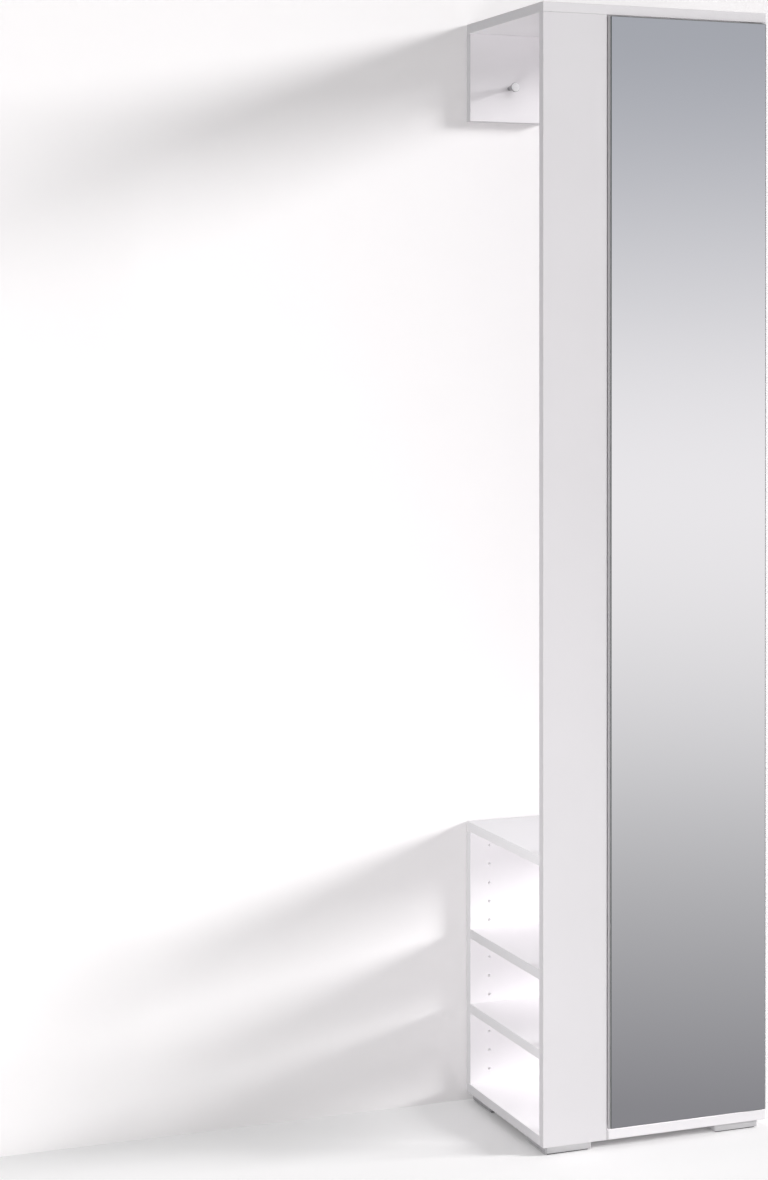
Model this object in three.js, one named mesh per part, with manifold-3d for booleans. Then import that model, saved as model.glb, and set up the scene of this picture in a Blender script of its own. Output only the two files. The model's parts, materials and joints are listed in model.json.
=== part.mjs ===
// Kids wardrobe with an open coat niche on its left side and a mirror door in front.
// Millimetres. +X is right as seen from the front, +Y is towards the wall and +Z is up.
// The origin is on the floor, under the middle of the whole unit.

import * as THREE from "three";
import { mergeVertices } from "three/addons/utils/BufferGeometryUtils.js";
import Module from "manifold-3d";

// Driving dimensions: the whole unit.
const overallWidth = 400;
const overallHeight = 1844;
const carcassDepth = 334;
const boardThickness = 16;
const edgeEase = 0.5; // small bevel along every board edge
const seam = 0.2; // space left where two fixed pieces meet
const runningGap = 0.3; // space in front of what moves, and round a screw or stud
const runningFit = 0.1; // space round a hinge pin or a plunger
const overrun = 1; // how far a cutter reaches past the face it enters

// Driving dimensions: the open niche and the shoe box on the left.
const nicheWidth = 141;
const hookRailHeight = 150;
const shoeBoxHeight = 479; // floor to the top of the box
const holeDiameter = 5;
const holeDepth = 9;
const holePitch = 32;
const firstHoleHeight = 54;
const nicheHoleCount = 13;
const upperShoeShelfHoleCount = 7; // holes left below the pins of the upper shelf
const lowerShoeShelfHoleCount = 3;
const nicheHoleSetback = 35; // hole column in from the open side
const partitionHoleSetback = 37; // niche hole columns in from the partition's niche edges
const shelfEndGap = 0.5;

// Driving dimensions: the closed cabinet on the right.
const sidePanelSetback = 19; // leaves room for the turning door
const backPanelThickness = 3;
const backPanelRecess = 7; // back panel in from the wall
const grooveDepth = 5;
const hatPlaceHeight = 264; // clear height over the hat shelf
const middleShelfHeight = 888; // floor to the underside
const innerShelfSetback = 22; // shelf fronts behind the carcass front
const cabinetHoleSetback = 69;
const cabinetStartCount = 10; // rows of holes left out under the cabinet's lowest
const cabinetHoleCount = 7;
const innerShelfHoleCount = 13; // rows below the pins of the inner shelf
const railDrop = 54; // middle of the rail below the hat shelf
const railTall = 30;
const railWide = 15;
const railWall = 1.2;
const socketRim = 2.5;
const socketPlate = 3;
const socketReach = 12;
const socketFlange = 6;

// Driving dimensions: the door between the top and bottom panels, right of the stile.
const stileWidth = 112;
const stopOverlap = 16; // how far the stop strip runs behind the stile
const doorSideGap = 2;
const doorEndGap = 1.2;
const leafThickness = 16;
const tapeThickness = 0.7;
const tapeWidth = 19;
const tapeInset = 6;
const mirrorThickness = 3;
const mirrorEase = 0.8;
const mirrorSideMargin = 3;
const mirrorEndMargin = 1.2;

// Driving dimensions: the pivot hinges.
const pivotInset = 8; // hinge axis in from the door's right edge
const hingePlateThickness = 2;
const hingePlateWidth = 10;
const hingePinDiameter = 4;
const hingePinReach = 11;
const hingeCollarDiameter = 7;
const hingeBushDiameter = 7;
const hingeBushLength = 12;
const hingeScrewOffsets = { near: 13, far: 30 }; // left of the axis

// Driving dimensions: screws.
const screwDiameter = 3;
const screwLength = 14;
const screwHeadDiameter = 6.4;
const screwHeadDepth = 1.7;
const crossWidth = 0.9;
const crossReach = 3.4;
const crossDepth = 0.9;

// Driving dimensions: push latch, strike and bumpers.
const latchHeight = 1004;
const latchWidth = 12;
const latchLength = 58;
const latchTall = 14;
const latchPlateTall = 34;
const latchPlateLength = 30;
const latchPlateThickness = 2.5;
const plungerDiameter = 6;
const plungerTipDiameter = 9;
const plungerTipLength = 2.2;
const plungerLength = 40;
const plungerTravel = 2;
const strikeDiameter = 13;
const strikeThickness = 1;
const bumperDiameter = 8;
const bumperThickness = 1;
const bumperEndSetback = 70;

// Driving dimensions: coat hook.
const hookInset = 72; // from the open side
const hookDrop = 92; // below the top panel
const hookReach = 30;
const hookFootDiameter = 7;
const hookHeadDiameter = 16;
const hookHeadDome = 1.5;
const hookStudDiameter = 4;
const hookStudReach = 10; // into the rail, and as far into the hook

// Driving dimensions: shelf pins.
const pinFit = 0.1;
const pinHeadDiameter = 8;
const pinHeadLength = 7;
const pinShankLength = 8;

// Driving dimensions: feet.
const footHeight = 14;
const footSize = 80;
const footEase = 1;
const footFrontSetback = 5;
const footRearSetback = 9;
const footLeftSetback = 7;
const footRightSetback = 12;
const padThickness = 2;
const padInset = 4;

// Driving dimensions: wall bracket.
const bracketWidth = 30;
const bracketLeg = 24;
const bracketThickness = 2;
const bracketHoleDiameter = 5;

// How finely round pieces are divided.
const roundSides = 24;
const holeSides = 12;
const screwSides = 12;

// Places that follow from the driving dimensions.
const left = -overallWidth / 2;
const right = overallWidth / 2;
const doorGap = bumperThickness + runningGap;
const doorProud = doorGap + leafThickness + tapeThickness + mirrorThickness - boardThickness;
const mirrorFace = -(carcassDepth + doorProud) / 2;
const carcassFront = mirrorFace + doorProud;
const wall = carcassFront + carcassDepth;
const stileRight = left + stileWidth;
const stileBack = carcassFront + boardThickness;
const stopFront = stileBack + seam;
const stopBack = stopFront + boardThickness;
const stopLeft = stileRight - stopOverlap;
const railFront = wall - boardThickness;
const topUnderside = overallHeight - boardThickness;
const floorTop = footHeight + boardThickness;
const partitionLeft = left + nicheWidth;
const partitionRight = partitionLeft + boardThickness;
const sideLeft = right - boardThickness;
const sideFront = carcassFront + sidePanelSetback;
const backPanelBack = wall - backPanelRecess;
const backPanelFront = backPanelBack - backPanelThickness;
const boxTopUnderside = shoeBoxHeight - boardThickness;
const nicheHoleX = left + nicheHoleSetback;
const partitionHoleFront = stileBack + partitionHoleSetback;
const partitionHoleRear = railFront - partitionHoleSetback;
const cabinetHoleFront = stileBack + cabinetHoleSetback;
const cabinetHoleRear = backPanelFront - cabinetHoleSetback;
const innerShelfFront = carcassFront + innerShelfSetback;
const hatShelfHeight = topUnderside - hatPlaceHeight - boardThickness;
const railHeight = hatShelfHeight - railDrop;
const hookHeight = topUnderside - hookDrop;
const doorLeft = stileRight + doorSideGap;
const doorBottom = floorTop + doorEndGap;
const doorTop = topUnderside - doorEndGap;
const leafBack = stileBack - doorGap;
const leafFront = leafBack - leafThickness;
const mirrorBack = leafFront - tapeThickness;
const hingeX = right - pivotInset;
const hingeY = (leafBack + leafFront) / 2;
const latchX = partitionRight + seam + latchWidth / 2;
const strikeFace = leafBack + seam + strikeThickness;
const plungerFace = strikeFace + runningGap;
const latchFront = plungerFace + plungerTipLength + plungerTravel + runningGap;

const white = new THREE.MeshStandardMaterial({ color: 0xf2f2f3, roughness: 0.45, metalness: 0 });
const mirrorGlass = new THREE.MeshStandardMaterial({ color: 0xdfe3e6, roughness: 0.03, metalness: 1 });
const fibreboard = new THREE.MeshStandardMaterial({ color: 0xe9e8e6, roughness: 0.6, metalness: 0 });
const tapeFoam = new THREE.MeshStandardMaterial({ color: 0x3a3a3c, roughness: 0.9, metalness: 0 });
const chrome = new THREE.MeshStandardMaterial({ color: 0xd8d9db, roughness: 0.15, metalness: 1 });
const steel = new THREE.MeshStandardMaterial({ color: 0xb9bbbd, roughness: 0.3, metalness: 1 });
const silver = new THREE.MeshStandardMaterial({ color: 0xb4b4b6, roughness: 0.4, metalness: 0.9 });
const whitePlastic = new THREE.MeshStandardMaterial({ color: 0xe6e6e6, roughness: 0.5, metalness: 0 });
const greyPlastic = new THREE.MeshStandardMaterial({ color: 0x8b8d90, roughness: 0.55, metalness: 0 });
const clearRubber = new THREE.MeshStandardMaterial({ color: 0xd9dcdc, roughness: 0.35, metalness: 0 });
const feltGrey = new THREE.MeshStandardMaterial({ color: 0x4c4c4e, roughness: 0.95, metalness: 0 });

const wasm = await Module();
wasm.setup();

/** Makes a closed geometry into a solid that can be cut and joined. */
function solidOf(geometry) {
  const bare = geometry.clone();
  bare.deleteAttribute("normal");
  bare.deleteAttribute("uv");
  const merged = mergeVertices(bare);
  const vertProperties = merged.attributes.position.array;
  const triVerts = new Uint32Array(merged.index.array);
  return new wasm.Manifold(new wasm.Mesh({ numProp: 3, vertProperties, triVerts }));
}

/** Makes a solid back into a geometry with flat facets. */
function geometryOf(solid) {
  const mesh = solid.getMesh();
  const shared = new THREE.BufferGeometry();
  shared.setAttribute("position", new THREE.BufferAttribute(mesh.vertProperties, mesh.numProp));
  shared.setIndex(new THREE.BufferAttribute(mesh.triVerts, 1));
  const faceted = shared.toNonIndexed();
  faceted.computeVertexNormals();
  return faceted;
}

/** Cuts each of the cutter geometries out of a geometry. */
function cut(geometry, cutters) {
  return geometryOf(cutters.reduce((solid, cutter) => solid.subtract(solidOf(cutter)), solidOf(geometry)));
}

/** Joins geometries that overlap into one. */
function join(geometries) {
  const [first, ...others] = geometries.map(solidOf);
  return geometryOf(others.reduce((solid, other) => solid.add(other), first));
}

/** A named mesh at a place. */
function piece(name, geometry, material, x = 0, y = 0, z = 0) {
  const mesh = new THREE.Mesh(geometry, material);
  mesh.name = name;
  mesh.position.set(x, y, z);
  return mesh;
}

/** A block centred on the origin, with a small bevel along all of its edges. */
function easedBox(width, depth, height, ease) {
  const halfWidth = width / 2 - ease;
  const halfDepth = depth / 2 - ease;
  const corner = ease * (Math.SQRT2 - 1);
  const outline = new THREE.Shape();
  outline.moveTo(corner - halfWidth, -halfDepth);
  outline.lineTo(halfWidth - corner, -halfDepth);
  outline.lineTo(halfWidth, corner - halfDepth);
  outline.lineTo(halfWidth, halfDepth - corner);
  outline.lineTo(halfWidth - corner, halfDepth);
  outline.lineTo(corner - halfWidth, halfDepth);
  outline.lineTo(-halfWidth, halfDepth - corner);
  outline.lineTo(-halfWidth, corner - halfDepth);
  outline.closePath();
  const core = height - 2 * ease;
  const settings = { depth: core, bevelSize: ease, bevelThickness: ease, bevelSegments: 1 };
  return new THREE.ExtrudeGeometry(outline, settings).translate(0, 0, -core / 2);
}

/** A board between two corners. Cutters are in the unit's frame. */
function board(name, [x0, x1], [y0, y1], [z0, z1], material = white, cutters = [], ease = edgeEase) {
  const x = (x0 + x1) / 2;
  const y = (y0 + y1) / 2;
  const z = (z0 + z1) / 2;
  const whole = easedBox(x1 - x0, y1 - y0, z1 - z0, ease);
  const local = cutters.map((cutter) => cutter.translate(-x, -y, -z));
  return piece(name, cutters.length ? cut(whole, local) : whole, material, x, y, z);
}

/** A plain block between two corners, used for grooves and recesses. */
function block([x0, x1], [y0, y1], [z0, z1]) {
  const box = new THREE.BoxGeometry(x1 - x0, y1 - y0, z1 - z0);
  return box.translate((x0 + x1) / 2, (y0 + y1) / 2, (z0 + z1) / 2);
}

const turns = {
  x: (geometry) => geometry.rotateZ(Math.PI / 2),
  y: (geometry) => geometry,
  z: (geometry) => geometry.rotateX(Math.PI / 2),
};

/** A round bar along an axis, its middle at the point. */
function bar(axis, diameter, length, [x, y, z], sides = roundSides) {
  const round = new THREE.CylinderGeometry(diameter / 2, diameter / 2, length, sides);
  return turns[axis](round).translate(x, y, z);
}

/** A turned solid along +Z from a profile of [radius, height] pairs, both ends on the axis. */
function turned(profile, sides = roundSides) {
  const points = profile.map(([radius, height]) => new THREE.Vector2(radius, height));
  return new THREE.LatheGeometry(points, sides).rotateX(Math.PI / 2);
}

/** Turns a fitting that was made to stand on a floor over where up is -1, to hang from a ceiling. */
function facing(geometry, up) {
  return up > 0 ? geometry : geometry.rotateX(Math.PI);
}

/** Cutters for a column of blind holes in the face at `face`, entered along an axis from its open side. */
function holeColumn(axis, face, inward, place, first, count) {
  const length = holeDepth + overrun;
  const middle = face + (inward * (holeDepth - overrun)) / 2;
  return Array.from({ length: count }, (_, i) => {
    const height = firstHoleHeight + (first + i) * holePitch;
    const at = axis === "x" ? [middle, place, height] : [place, middle, height];
    return bar(axis, holeDiameter, length, at, holeSides);
  });
}

const holeZ = (index) => firstHoleHeight + index * holePitch;
const shelfSeat = holeDiameter / 2; // underside of a shelf above its hole's axis

/** The screws of one hinge, by how far they stand from its axis. */
function hingeScrewPlaces() {
  return Object.entries(hingeScrewOffsets).map(([name, offset]) => ({ name, x: hingeX - offset }));
}

/** The outline of a hinge plate, round at both ends, grown by an amount, its pivot at the origin. */
function hingePlateOutline(grow) {
  const radius = hingePlateWidth / 2 + grow;
  const outline = new THREE.Shape();
  outline.absarc(0, 0, radius, -Math.PI / 2, Math.PI / 2, false);
  outline.absarc(-hingeScrewOffsets.far, 0, radius, Math.PI / 2, (3 * Math.PI) / 2, false);
  outline.closePath();
  return outline;
}

/** Cutters for a hinge in the board whose face is at z: the plate's recess and the screws' pilot holes. */
function hingeSeat(face, inward) {
  const recess = hingePlateThickness + seam;
  const settings = { depth: recess + overrun, bevelEnabled: false, curveSegments: holeSides };
  const pocket = new THREE.ExtrudeGeometry(hingePlateOutline(runningGap), settings);
  pocket.translate(hingeX, hingeY, inward > 0 ? face - overrun : face - recess);
  const depth = screwLength + runningGap;
  const z = face + (inward * (depth - overrun)) / 2;
  const diameter = screwDiameter + 2 * runningGap;
  const pilots = hingeScrewPlaces().map(({ x }) =>
    bar("z", diameter, depth + overrun, [x, hingeY, z], holeSides),
  );
  return [pocket, ...pilots];
}

/** Cutter for a niche board's front corner, where the stop strip stands. */
function stopNotch(low, high) {
  const xs = [stopLeft - shelfEndGap, partitionLeft];
  return block(xs, [stileBack - overrun, stopBack + shelfEndGap], [low - overrun, high + overrun]);
}

/** Cutter for the back panel's groove along a vertical face, entered along x. */
function uprightGroove(face, inward, low, high) {
  const xs = [face - inward * overrun, face + inward * grooveDepth].sort((a, b) => a - b);
  return block(xs, [backPanelFront - seam, backPanelBack + seam], [low, high]);
}

/** Cutter for the back panel's groove along a level face, entered along z. */
function levelGroove(face, inward) {
  const zs = [face - inward * overrun, face + inward * grooveDepth].sort((a, b) => a - b);
  const xs = [partitionRight - grooveDepth, sideLeft + grooveDepth];
  return block(xs, [backPanelFront - seam, backPanelBack + seam], zs);
}

function makeTopPanel() {
  const cutters = [levelGroove(topUnderside, 1), ...hingeSeat(topUnderside, 1)];
  const height = [topUnderside, overallHeight];
  return board("top_panel", [left, right], [carcassFront, wall], height, white, cutters);
}

function makeBottomPanel() {
  // The panel's left front corner is notched for the stile, which runs down past it.
  const notch = block(
    [left - overrun, stileRight + seam],
    [carcassFront - overrun, stileBack + seam],
    [footHeight - overrun, floorTop + overrun],
  );
  const cutters = [notch, levelGroove(floorTop, -1), ...hingeSeat(floorTop, -1)];
  return board("bottom_panel", [left, right], [carcassFront, wall], [footHeight, floorTop], white, cutters);
}

function makeFrontStile() {
  const holes = holeColumn("y", stileBack, -1, nicheHoleX, 0, nicheHoleCount);
  const height = [footHeight, topUnderside - seam];
  return board("front_stile", [left, stileRight], [carcassFront, stileBack], height, white, holes);
}

/** The strip behind the stile's right edge that closes the niche and stops the door. */
function makeStopStrip() {
  const height = [floorTop + seam, topUnderside - seam];
  return board("stop_strip", [stopLeft, partitionLeft - seam], [stopFront, stopBack], height);
}

function makePartitionPanel() {
  const nicheHoles = [partitionHoleFront, partitionHoleRear].flatMap((y) =>
    holeColumn("x", partitionLeft, 1, y, 0, nicheHoleCount),
  );
  const cabinetHolesHere = [cabinetHoleFront, cabinetHoleRear].flatMap((y) =>
    holeColumn("x", partitionRight, -1, y, cabinetStartCount, cabinetHoleCount),
  );
  const groove = uprightGroove(partitionRight, -1, floorTop - overrun, topUnderside + overrun);
  return board(
    "partition_panel",
    [partitionLeft, partitionRight],
    [stopFront, wall],
    [floorTop + seam, topUnderside - seam],
    white,
    [...nicheHoles, ...cabinetHolesHere, groove],
  );
}

function makeRightSidePanel() {
  const holes = [cabinetHoleFront, cabinetHoleRear].flatMap((y) =>
    holeColumn("x", sideLeft, 1, y, cabinetStartCount, cabinetHoleCount),
  );
  const groove = uprightGroove(sideLeft, 1, floorTop - overrun, topUnderside + overrun);
  const height = [floorTop + seam, topUnderside - seam];
  return board("right_side_panel", [sideLeft, right], [sideFront, wall], height, white, [...holes, groove]);
}

function makeBackPanel() {
  const reach = grooveDepth - 2 * seam;
  return board(
    "back_panel",
    [partitionRight - reach, sideLeft + reach],
    [backPanelFront, backPanelBack],
    [floorTop - reach, topUnderside + reach],
    fibreboard,
  );
}

function makeHookRail() {
  const hole = bar(
    "y",
    hookStudDiameter + 2 * runningGap,
    hookStudReach + overrun + seam,
    [left + hookInset, railFront + (hookStudReach + seam - overrun) / 2, hookHeight],
    holeSides,
  );
  return board(
    "hook_rail",
    [left, partitionLeft - seam],
    [railFront, wall],
    [topUnderside - hookRailHeight, topUnderside - seam],
    white,
    [hole],
  );
}

function makeBoxWallPanel() {
  const holes = holeColumn("y", railFront, 1, nicheHoleX, 0, nicheHoleCount);
  const height = [floorTop + seam, boxTopUnderside - seam];
  return board("box_wall_panel", [left, partitionLeft - seam], [railFront, wall], height, white, holes);
}

function makeBoxTop() {
  return board(
    "shoe_box_top",
    [left, partitionLeft - seam],
    [stileBack + seam, wall],
    [boxTopUnderside, shoeBoxHeight],
    white,
    [stopNotch(boxTopUnderside, shoeBoxHeight)],
  );
}

function makeShoeShelf(name, hole) {
  const underside = holeZ(hole) + shelfSeat;
  return board(
    name,
    [left, partitionLeft - shelfEndGap],
    [stileBack + shelfEndGap, railFront - shelfEndGap],
    [underside, underside + boardThickness],
    white,
    [stopNotch(underside, underside + boardThickness)],
  );
}

function makeInnerShelf(name, underside, endGap) {
  return board(
    name,
    [partitionRight + endGap, sideLeft - endGap],
    [innerShelfFront, backPanelFront - endGap],
    [underside, underside + boardThickness],
  );
}

/** A shelf pin along +Y: a shank for the hole and a head with a flat seat on top. */
function shelfPinGeometry() {
  const seat = shelfSeat - seam;
  const radius = pinHeadDiameter / 2;
  const reach = Math.sqrt(radius ** 2 - seat ** 2);
  const start = Math.atan2(seat, -reach);
  const outline = new THREE.Shape();
  outline.absarc(0, 0, radius, start, Math.atan2(seat, reach) + 2 * Math.PI, false);
  outline.closePath();
  const settings = { depth: pinHeadLength, bevelEnabled: false, curveSegments: holeSides };
  const head = new THREE.ExtrudeGeometry(outline, settings).rotateX(Math.PI / 2).translate(0, -seam, 0);
  const length = pinShankLength + pinHeadLength / 2;
  const shank = bar("y", holeDiameter - 2 * pinFit, length, [0, pinShankLength - length / 2, 0], holeSides);
  return join([head, shank]);
}

/** A shelf pin whose shank enters the face at the place and points along the heading, an angle about +Z. */
function shelfPin(name, heading, x, y, hole) {
  const pin = piece(name, shelfPinGeometry(), chrome, x, y, holeZ(hole));
  pin.rotation.z = heading;
  return pin;
}

const towards = { wall: 0, front: Math.PI, right: -Math.PI / 2, left: Math.PI / 2 };

const shoeShelfHoles = { upper: upperShoeShelfHoleCount, lower: lowerShoeShelfHoleCount };

function makeShoeShelfPins() {
  return Object.entries(shoeShelfHoles).flatMap(([level, hole]) => [
    shelfPin(`${level}_shoe_pin_wall`, towards.wall, nicheHoleX, railFront, hole),
    shelfPin(`${level}_shoe_pin_stile`, towards.front, nicheHoleX, stileBack, hole),
    shelfPin(`${level}_shoe_pin_inner_front`, towards.right, partitionLeft, partitionHoleFront, hole),
    shelfPin(`${level}_shoe_pin_inner_rear`, towards.right, partitionLeft, partitionHoleRear, hole),
  ]);
}

function makeInnerShelfPins() {
  const hole = innerShelfHoleCount;
  return [
    shelfPin("inner_pin_left_front", towards.left, partitionRight, cabinetHoleFront, hole),
    shelfPin("inner_pin_left_rear", towards.left, partitionRight, cabinetHoleRear, hole),
    shelfPin("inner_pin_right_front", towards.right, sideLeft, cabinetHoleFront, hole),
    shelfPin("inner_pin_right_rear", towards.right, sideLeft, cabinetHoleRear, hole),
  ];
}

/** The turned coat hook along -Y from the rail, a cone with a blind bore in its foot for its stud. */
function makeCoatHook() {
  const foot = hookFootDiameter / 2;
  const head = hookHeadDiameter / 2;
  const profile = [
    [0, 0],
    [foot, 0],
    [head, hookReach - 2 * hookHeadDome],
    [head, hookReach - hookHeadDome],
    [head - hookHeadDome, hookReach - hookHeadDome / 4],
    [0, hookReach],
  ];
  const depth = hookStudReach + seam + overrun;
  const bore = bar("z", hookStudDiameter + 2 * runningGap, depth, [0, 0, depth / 2 - overrun], holeSides);
  const hook = cut(turned(profile), [bore]).rotateX(Math.PI / 2);
  return piece("coat_hook", hook, chrome, left + hookInset, railFront - seam, hookHeight);
}

function makeHookStud() {
  const length = 2 * hookStudReach;
  const stud = bar("y", hookStudDiameter, length, [0, 0, 0], holeSides);
  return piece("coat_hook_stud", stud, steel, left + hookInset, railFront, hookHeight);
}

/** One foot with its glide pad under it, its middle at the place. */
function makeFoot(name, x, y) {
  const plateHeight = footHeight - padThickness - 2 * seam;
  const plate = easedBox(footSize, footSize, plateHeight, footEase);
  const padSize = footSize - 2 * padInset;
  const pad = easedBox(padSize, padSize, padThickness, edgeEase);
  return [
    piece(`${name}_foot`, plate, silver, x, y, padThickness + seam + plateHeight / 2),
    piece(`${name}_foot_pad`, pad, feltGrey, x, y, padThickness / 2),
  ];
}

function makeFeet() {
  const xs = {
    left: left + footLeftSetback + footSize / 2,
    right: right - footRightSetback - footSize / 2,
  };
  const ys = {
    front: carcassFront + footFrontSetback + footSize / 2,
    rear: wall - footRearSetback - footSize / 2,
  };
  return Object.entries(ys).flatMap(([row, y]) =>
    Object.entries(xs).flatMap(([side, x]) => makeFoot(`${row}_${side}`, x, y)),
  );
}

/** The rounded outline of the clothes rail, as a path or a shape, grown by an amount. */
function railOutline(Kind, grow) {
  const radius = railWide / 2 + grow;
  const straight = (railTall - railWide) / 2;
  const outline = new Kind();
  outline.absarc(0, straight, radius, 0, Math.PI, false);
  outline.absarc(0, -straight, radius, Math.PI, 2 * Math.PI, false);
  outline.closePath();
  return outline;
}

function makeClothesRail() {
  const section = railOutline(THREE.Shape, 0);
  section.holes.push(railOutline(THREE.Path, -railWall));
  const x0 = partitionRight + seam + socketPlate + runningGap;
  const x1 = sideLeft - seam - socketPlate - runningGap;
  const settings = { depth: x1 - x0, bevelEnabled: false, curveSegments: holeSides / 2 };
  const tube = new THREE.ExtrudeGeometry(section, settings);
  tube.rotateX(Math.PI / 2).rotateZ(Math.PI / 2);
  return piece("clothes_rail", tube, chrome, x0, (leafBack + backPanelFront) / 2, railHeight);
}

/** A rail socket on the face at x: a flange plate and a rim round the rail, open at the top. */
function makeRailSocket(name, x, inward) {
  const flange = railOutline(THREE.Shape, socketRim + socketFlange);
  const rim = railOutline(THREE.Shape, socketRim);
  const plain = { bevelEnabled: false, curveSegments: holeSides / 2 };
  const plate = new THREE.ExtrudeGeometry(flange, { ...plain, depth: socketPlate });
  const sleeve = new THREE.ExtrudeGeometry(rim, { ...plain, depth: socketReach });
  const room = new THREE.ExtrudeGeometry(railOutline(THREE.Shape, runningGap), {
    ...plain,
    depth: socketReach,
  }).translate(0, 0, socketPlate);
  const width = railWide / 2 + runningGap;
  const mouth = block([-width, width], [0, railTall], [socketPlate, socketReach + overrun]);
  const socket = cut(join([plate, sleeve]), [room, mouth]);
  socket.rotateX(Math.PI / 2).rotateZ((inward * Math.PI) / 2);
  return piece(name, socket, chrome, x, (leafBack + backPanelFront) / 2, railHeight);
}

/** The folded bracket that ties the unit to the wall, under the top panel and against the back panel. */
function makeWallBracket() {
  const x0 = (partitionRight + sideLeft - bracketWidth) / 2;
  const x1 = x0 + bracketWidth;
  const top = topUnderside - seam;
  const rear = backPanelFront - seam;
  const leg = block([x0, x1], [rear - bracketLeg, rear], [top - bracketThickness, top]);
  const tab = block([x0, x1], [rear - bracketThickness, rear], [top - bracketLeg, top]);
  const through = bracketThickness + 2 * overrun;
  const middle = (x0 + x1) / 2;
  const legHole = [middle, rear - bracketLeg / 2, top - bracketThickness / 2];
  const tabHole = [middle, rear - bracketThickness / 2, top - bracketLeg / 2];
  const holes = [
    bar("z", bracketHoleDiameter, through, legHole, holeSides),
    bar("y", bracketHoleDiameter, through, tabHole, holeSides),
  ];
  return piece("wall_bracket", cut(join([leg, tab]), holes), steel);
}

/** The countersunk screw's own outline, grown by an amount, its head face at zero and its point down. */
function screwProfile(grow, length) {
  const head = screwHeadDiameter / 2 + grow;
  const shank = screwDiameter / 2 + grow;
  return [
    [0, -length],
    [shank, shank - length],
    [shank, -screwHeadDepth],
    [head, 0],
    [0, 0],
  ];
}

/** A countersunk cross-head screw, pointing down from its head. */
function screwGeometry() {
  const arms = [
    block([-crossReach / 2, crossReach / 2], [-crossWidth / 2, crossWidth / 2], [-crossDepth, overrun]),
    block([-crossWidth / 2, crossWidth / 2], [-crossReach / 2, crossReach / 2], [-crossDepth, overrun]),
  ];
  return cut(turned(screwProfile(0, screwLength), screwSides), arms);
}

/** Cutter for a countersunk hole, entered from a face at zero above it. */
function countersink() {
  return turned(screwProfile(runningGap, screwLength), screwSides);
}

/** The hinge plate, its pivot hole at the origin and its outer face at zero, looking up or down. */
function hingePlateGeometry(up) {
  const settings = { depth: hingePlateThickness, bevelEnabled: false, curveSegments: holeSides };
  const plate = new THREE.ExtrudeGeometry(hingePlateOutline(0), settings);
  plate.translate(0, 0, up > 0 ? -hingePlateThickness : 0);
  const hole = bar("z", hingePinDiameter + 2 * runningFit, 2 * hingePlateThickness + overrun, [0, 0, 0]);
  const sinks = hingeScrewPlaces().map(({ x }) => facing(countersink(), up).translate(x - hingeX, 0, 0));
  return cut(plate, [hole, ...sinks]);
}

/** The hinge pin, standing up through its plate, with a collar that keeps the leaf off the plate. */
function hingePinGeometry() {
  const shank = hingePinDiameter / 2;
  const collar = hingeCollarDiameter / 2;
  const collarTop = doorEndGap - runningGap;
  return turned([
    [0, -hingePlateThickness],
    [shank, -hingePlateThickness],
    [shank, seam],
    [collar, seam],
    [collar, collarTop],
    [shank, collarTop],
    [shank, collarTop + hingePinReach],
    [0, collarTop + hingePinReach],
  ]);
}

/** One pivot hinge, let into a face: plate, pin and two screws. Up is 1 under the door and -1 above it. */
function makeHinge(level, face, up) {
  const screws = hingeScrewPlaces().map(({ name, x }) =>
    piece(`${level}_hinge_screw_${name}`, facing(screwGeometry(), up), steel, x, hingeY, face),
  );
  return [
    piece(`${level}_hinge_plate`, hingePlateGeometry(up), steel, hingeX, hingeY, face),
    piece(`${level}_hinge_pin`, facing(hingePinGeometry(), up), steel, hingeX, hingeY, face),
    ...screws,
  ];
}

/** Cutter for a bush's blind hole in an end of the leaf, in the hinge's own frame. */
function bushHole(end, inward) {
  const depth = hingeBushLength + seam;
  const middle = end + (inward * (depth - overrun)) / 2;
  return bar("z", hingeBushDiameter + 2 * runningGap, depth + overrun, [hingeX, hingeY, middle]);
}

function makeBush(name, end, inward) {
  const length = hingeBushLength;
  const sleeve = bar("z", hingeBushDiameter, length, [0, 0, 0]);
  const bore = bar("z", hingePinDiameter + 2 * runningFit, length + 2 * overrun, [0, 0, 0]);
  return piece(name, cut(sleeve, [bore]), whitePlastic, hingeX, hingeY, end + (inward * length) / 2);
}

function makeDoorLeaf() {
  const cutters = [bushHole(doorBottom, 1), bushHole(doorTop, -1)];
  const height = [doorBottom, doorTop];
  return board("door_leaf", [doorLeft, right], [leafFront, leafBack], height, white, cutters);
}

function makeMirror() {
  return board(
    "mirror_pane",
    [doorLeft + mirrorSideMargin, right - mirrorSideMargin],
    [mirrorFace, mirrorBack],
    [doorBottom + mirrorEndMargin, doorTop - mirrorEndMargin],
    mirrorGlass,
    [],
    mirrorEase,
  );
}

/** The loop of mounting tape between mirror and leaf. */
function makeMirrorTape() {
  const ys = [mirrorBack + seam, leafFront - seam];
  const xs = [doorLeft + tapeInset, right - tapeInset];
  const zs = [doorBottom + tapeInset, doorTop - tapeInset];
  const inner = block(
    [xs[0] + tapeWidth, xs[1] - tapeWidth],
    [ys[0] - overrun, ys[1] + overrun],
    [zs[0] + tapeWidth, zs[1] - tapeWidth],
  );
  return piece("mirror_tape", cut(block(xs, ys, zs), [inner]), tapeFoam);
}

function makeStrike() {
  const strike = bar("y", strikeDiameter, strikeThickness, [0, 0, 0]);
  return piece("latch_strike", strike, steel, latchX, strikeFace - strikeThickness / 2, latchHeight);
}

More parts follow.
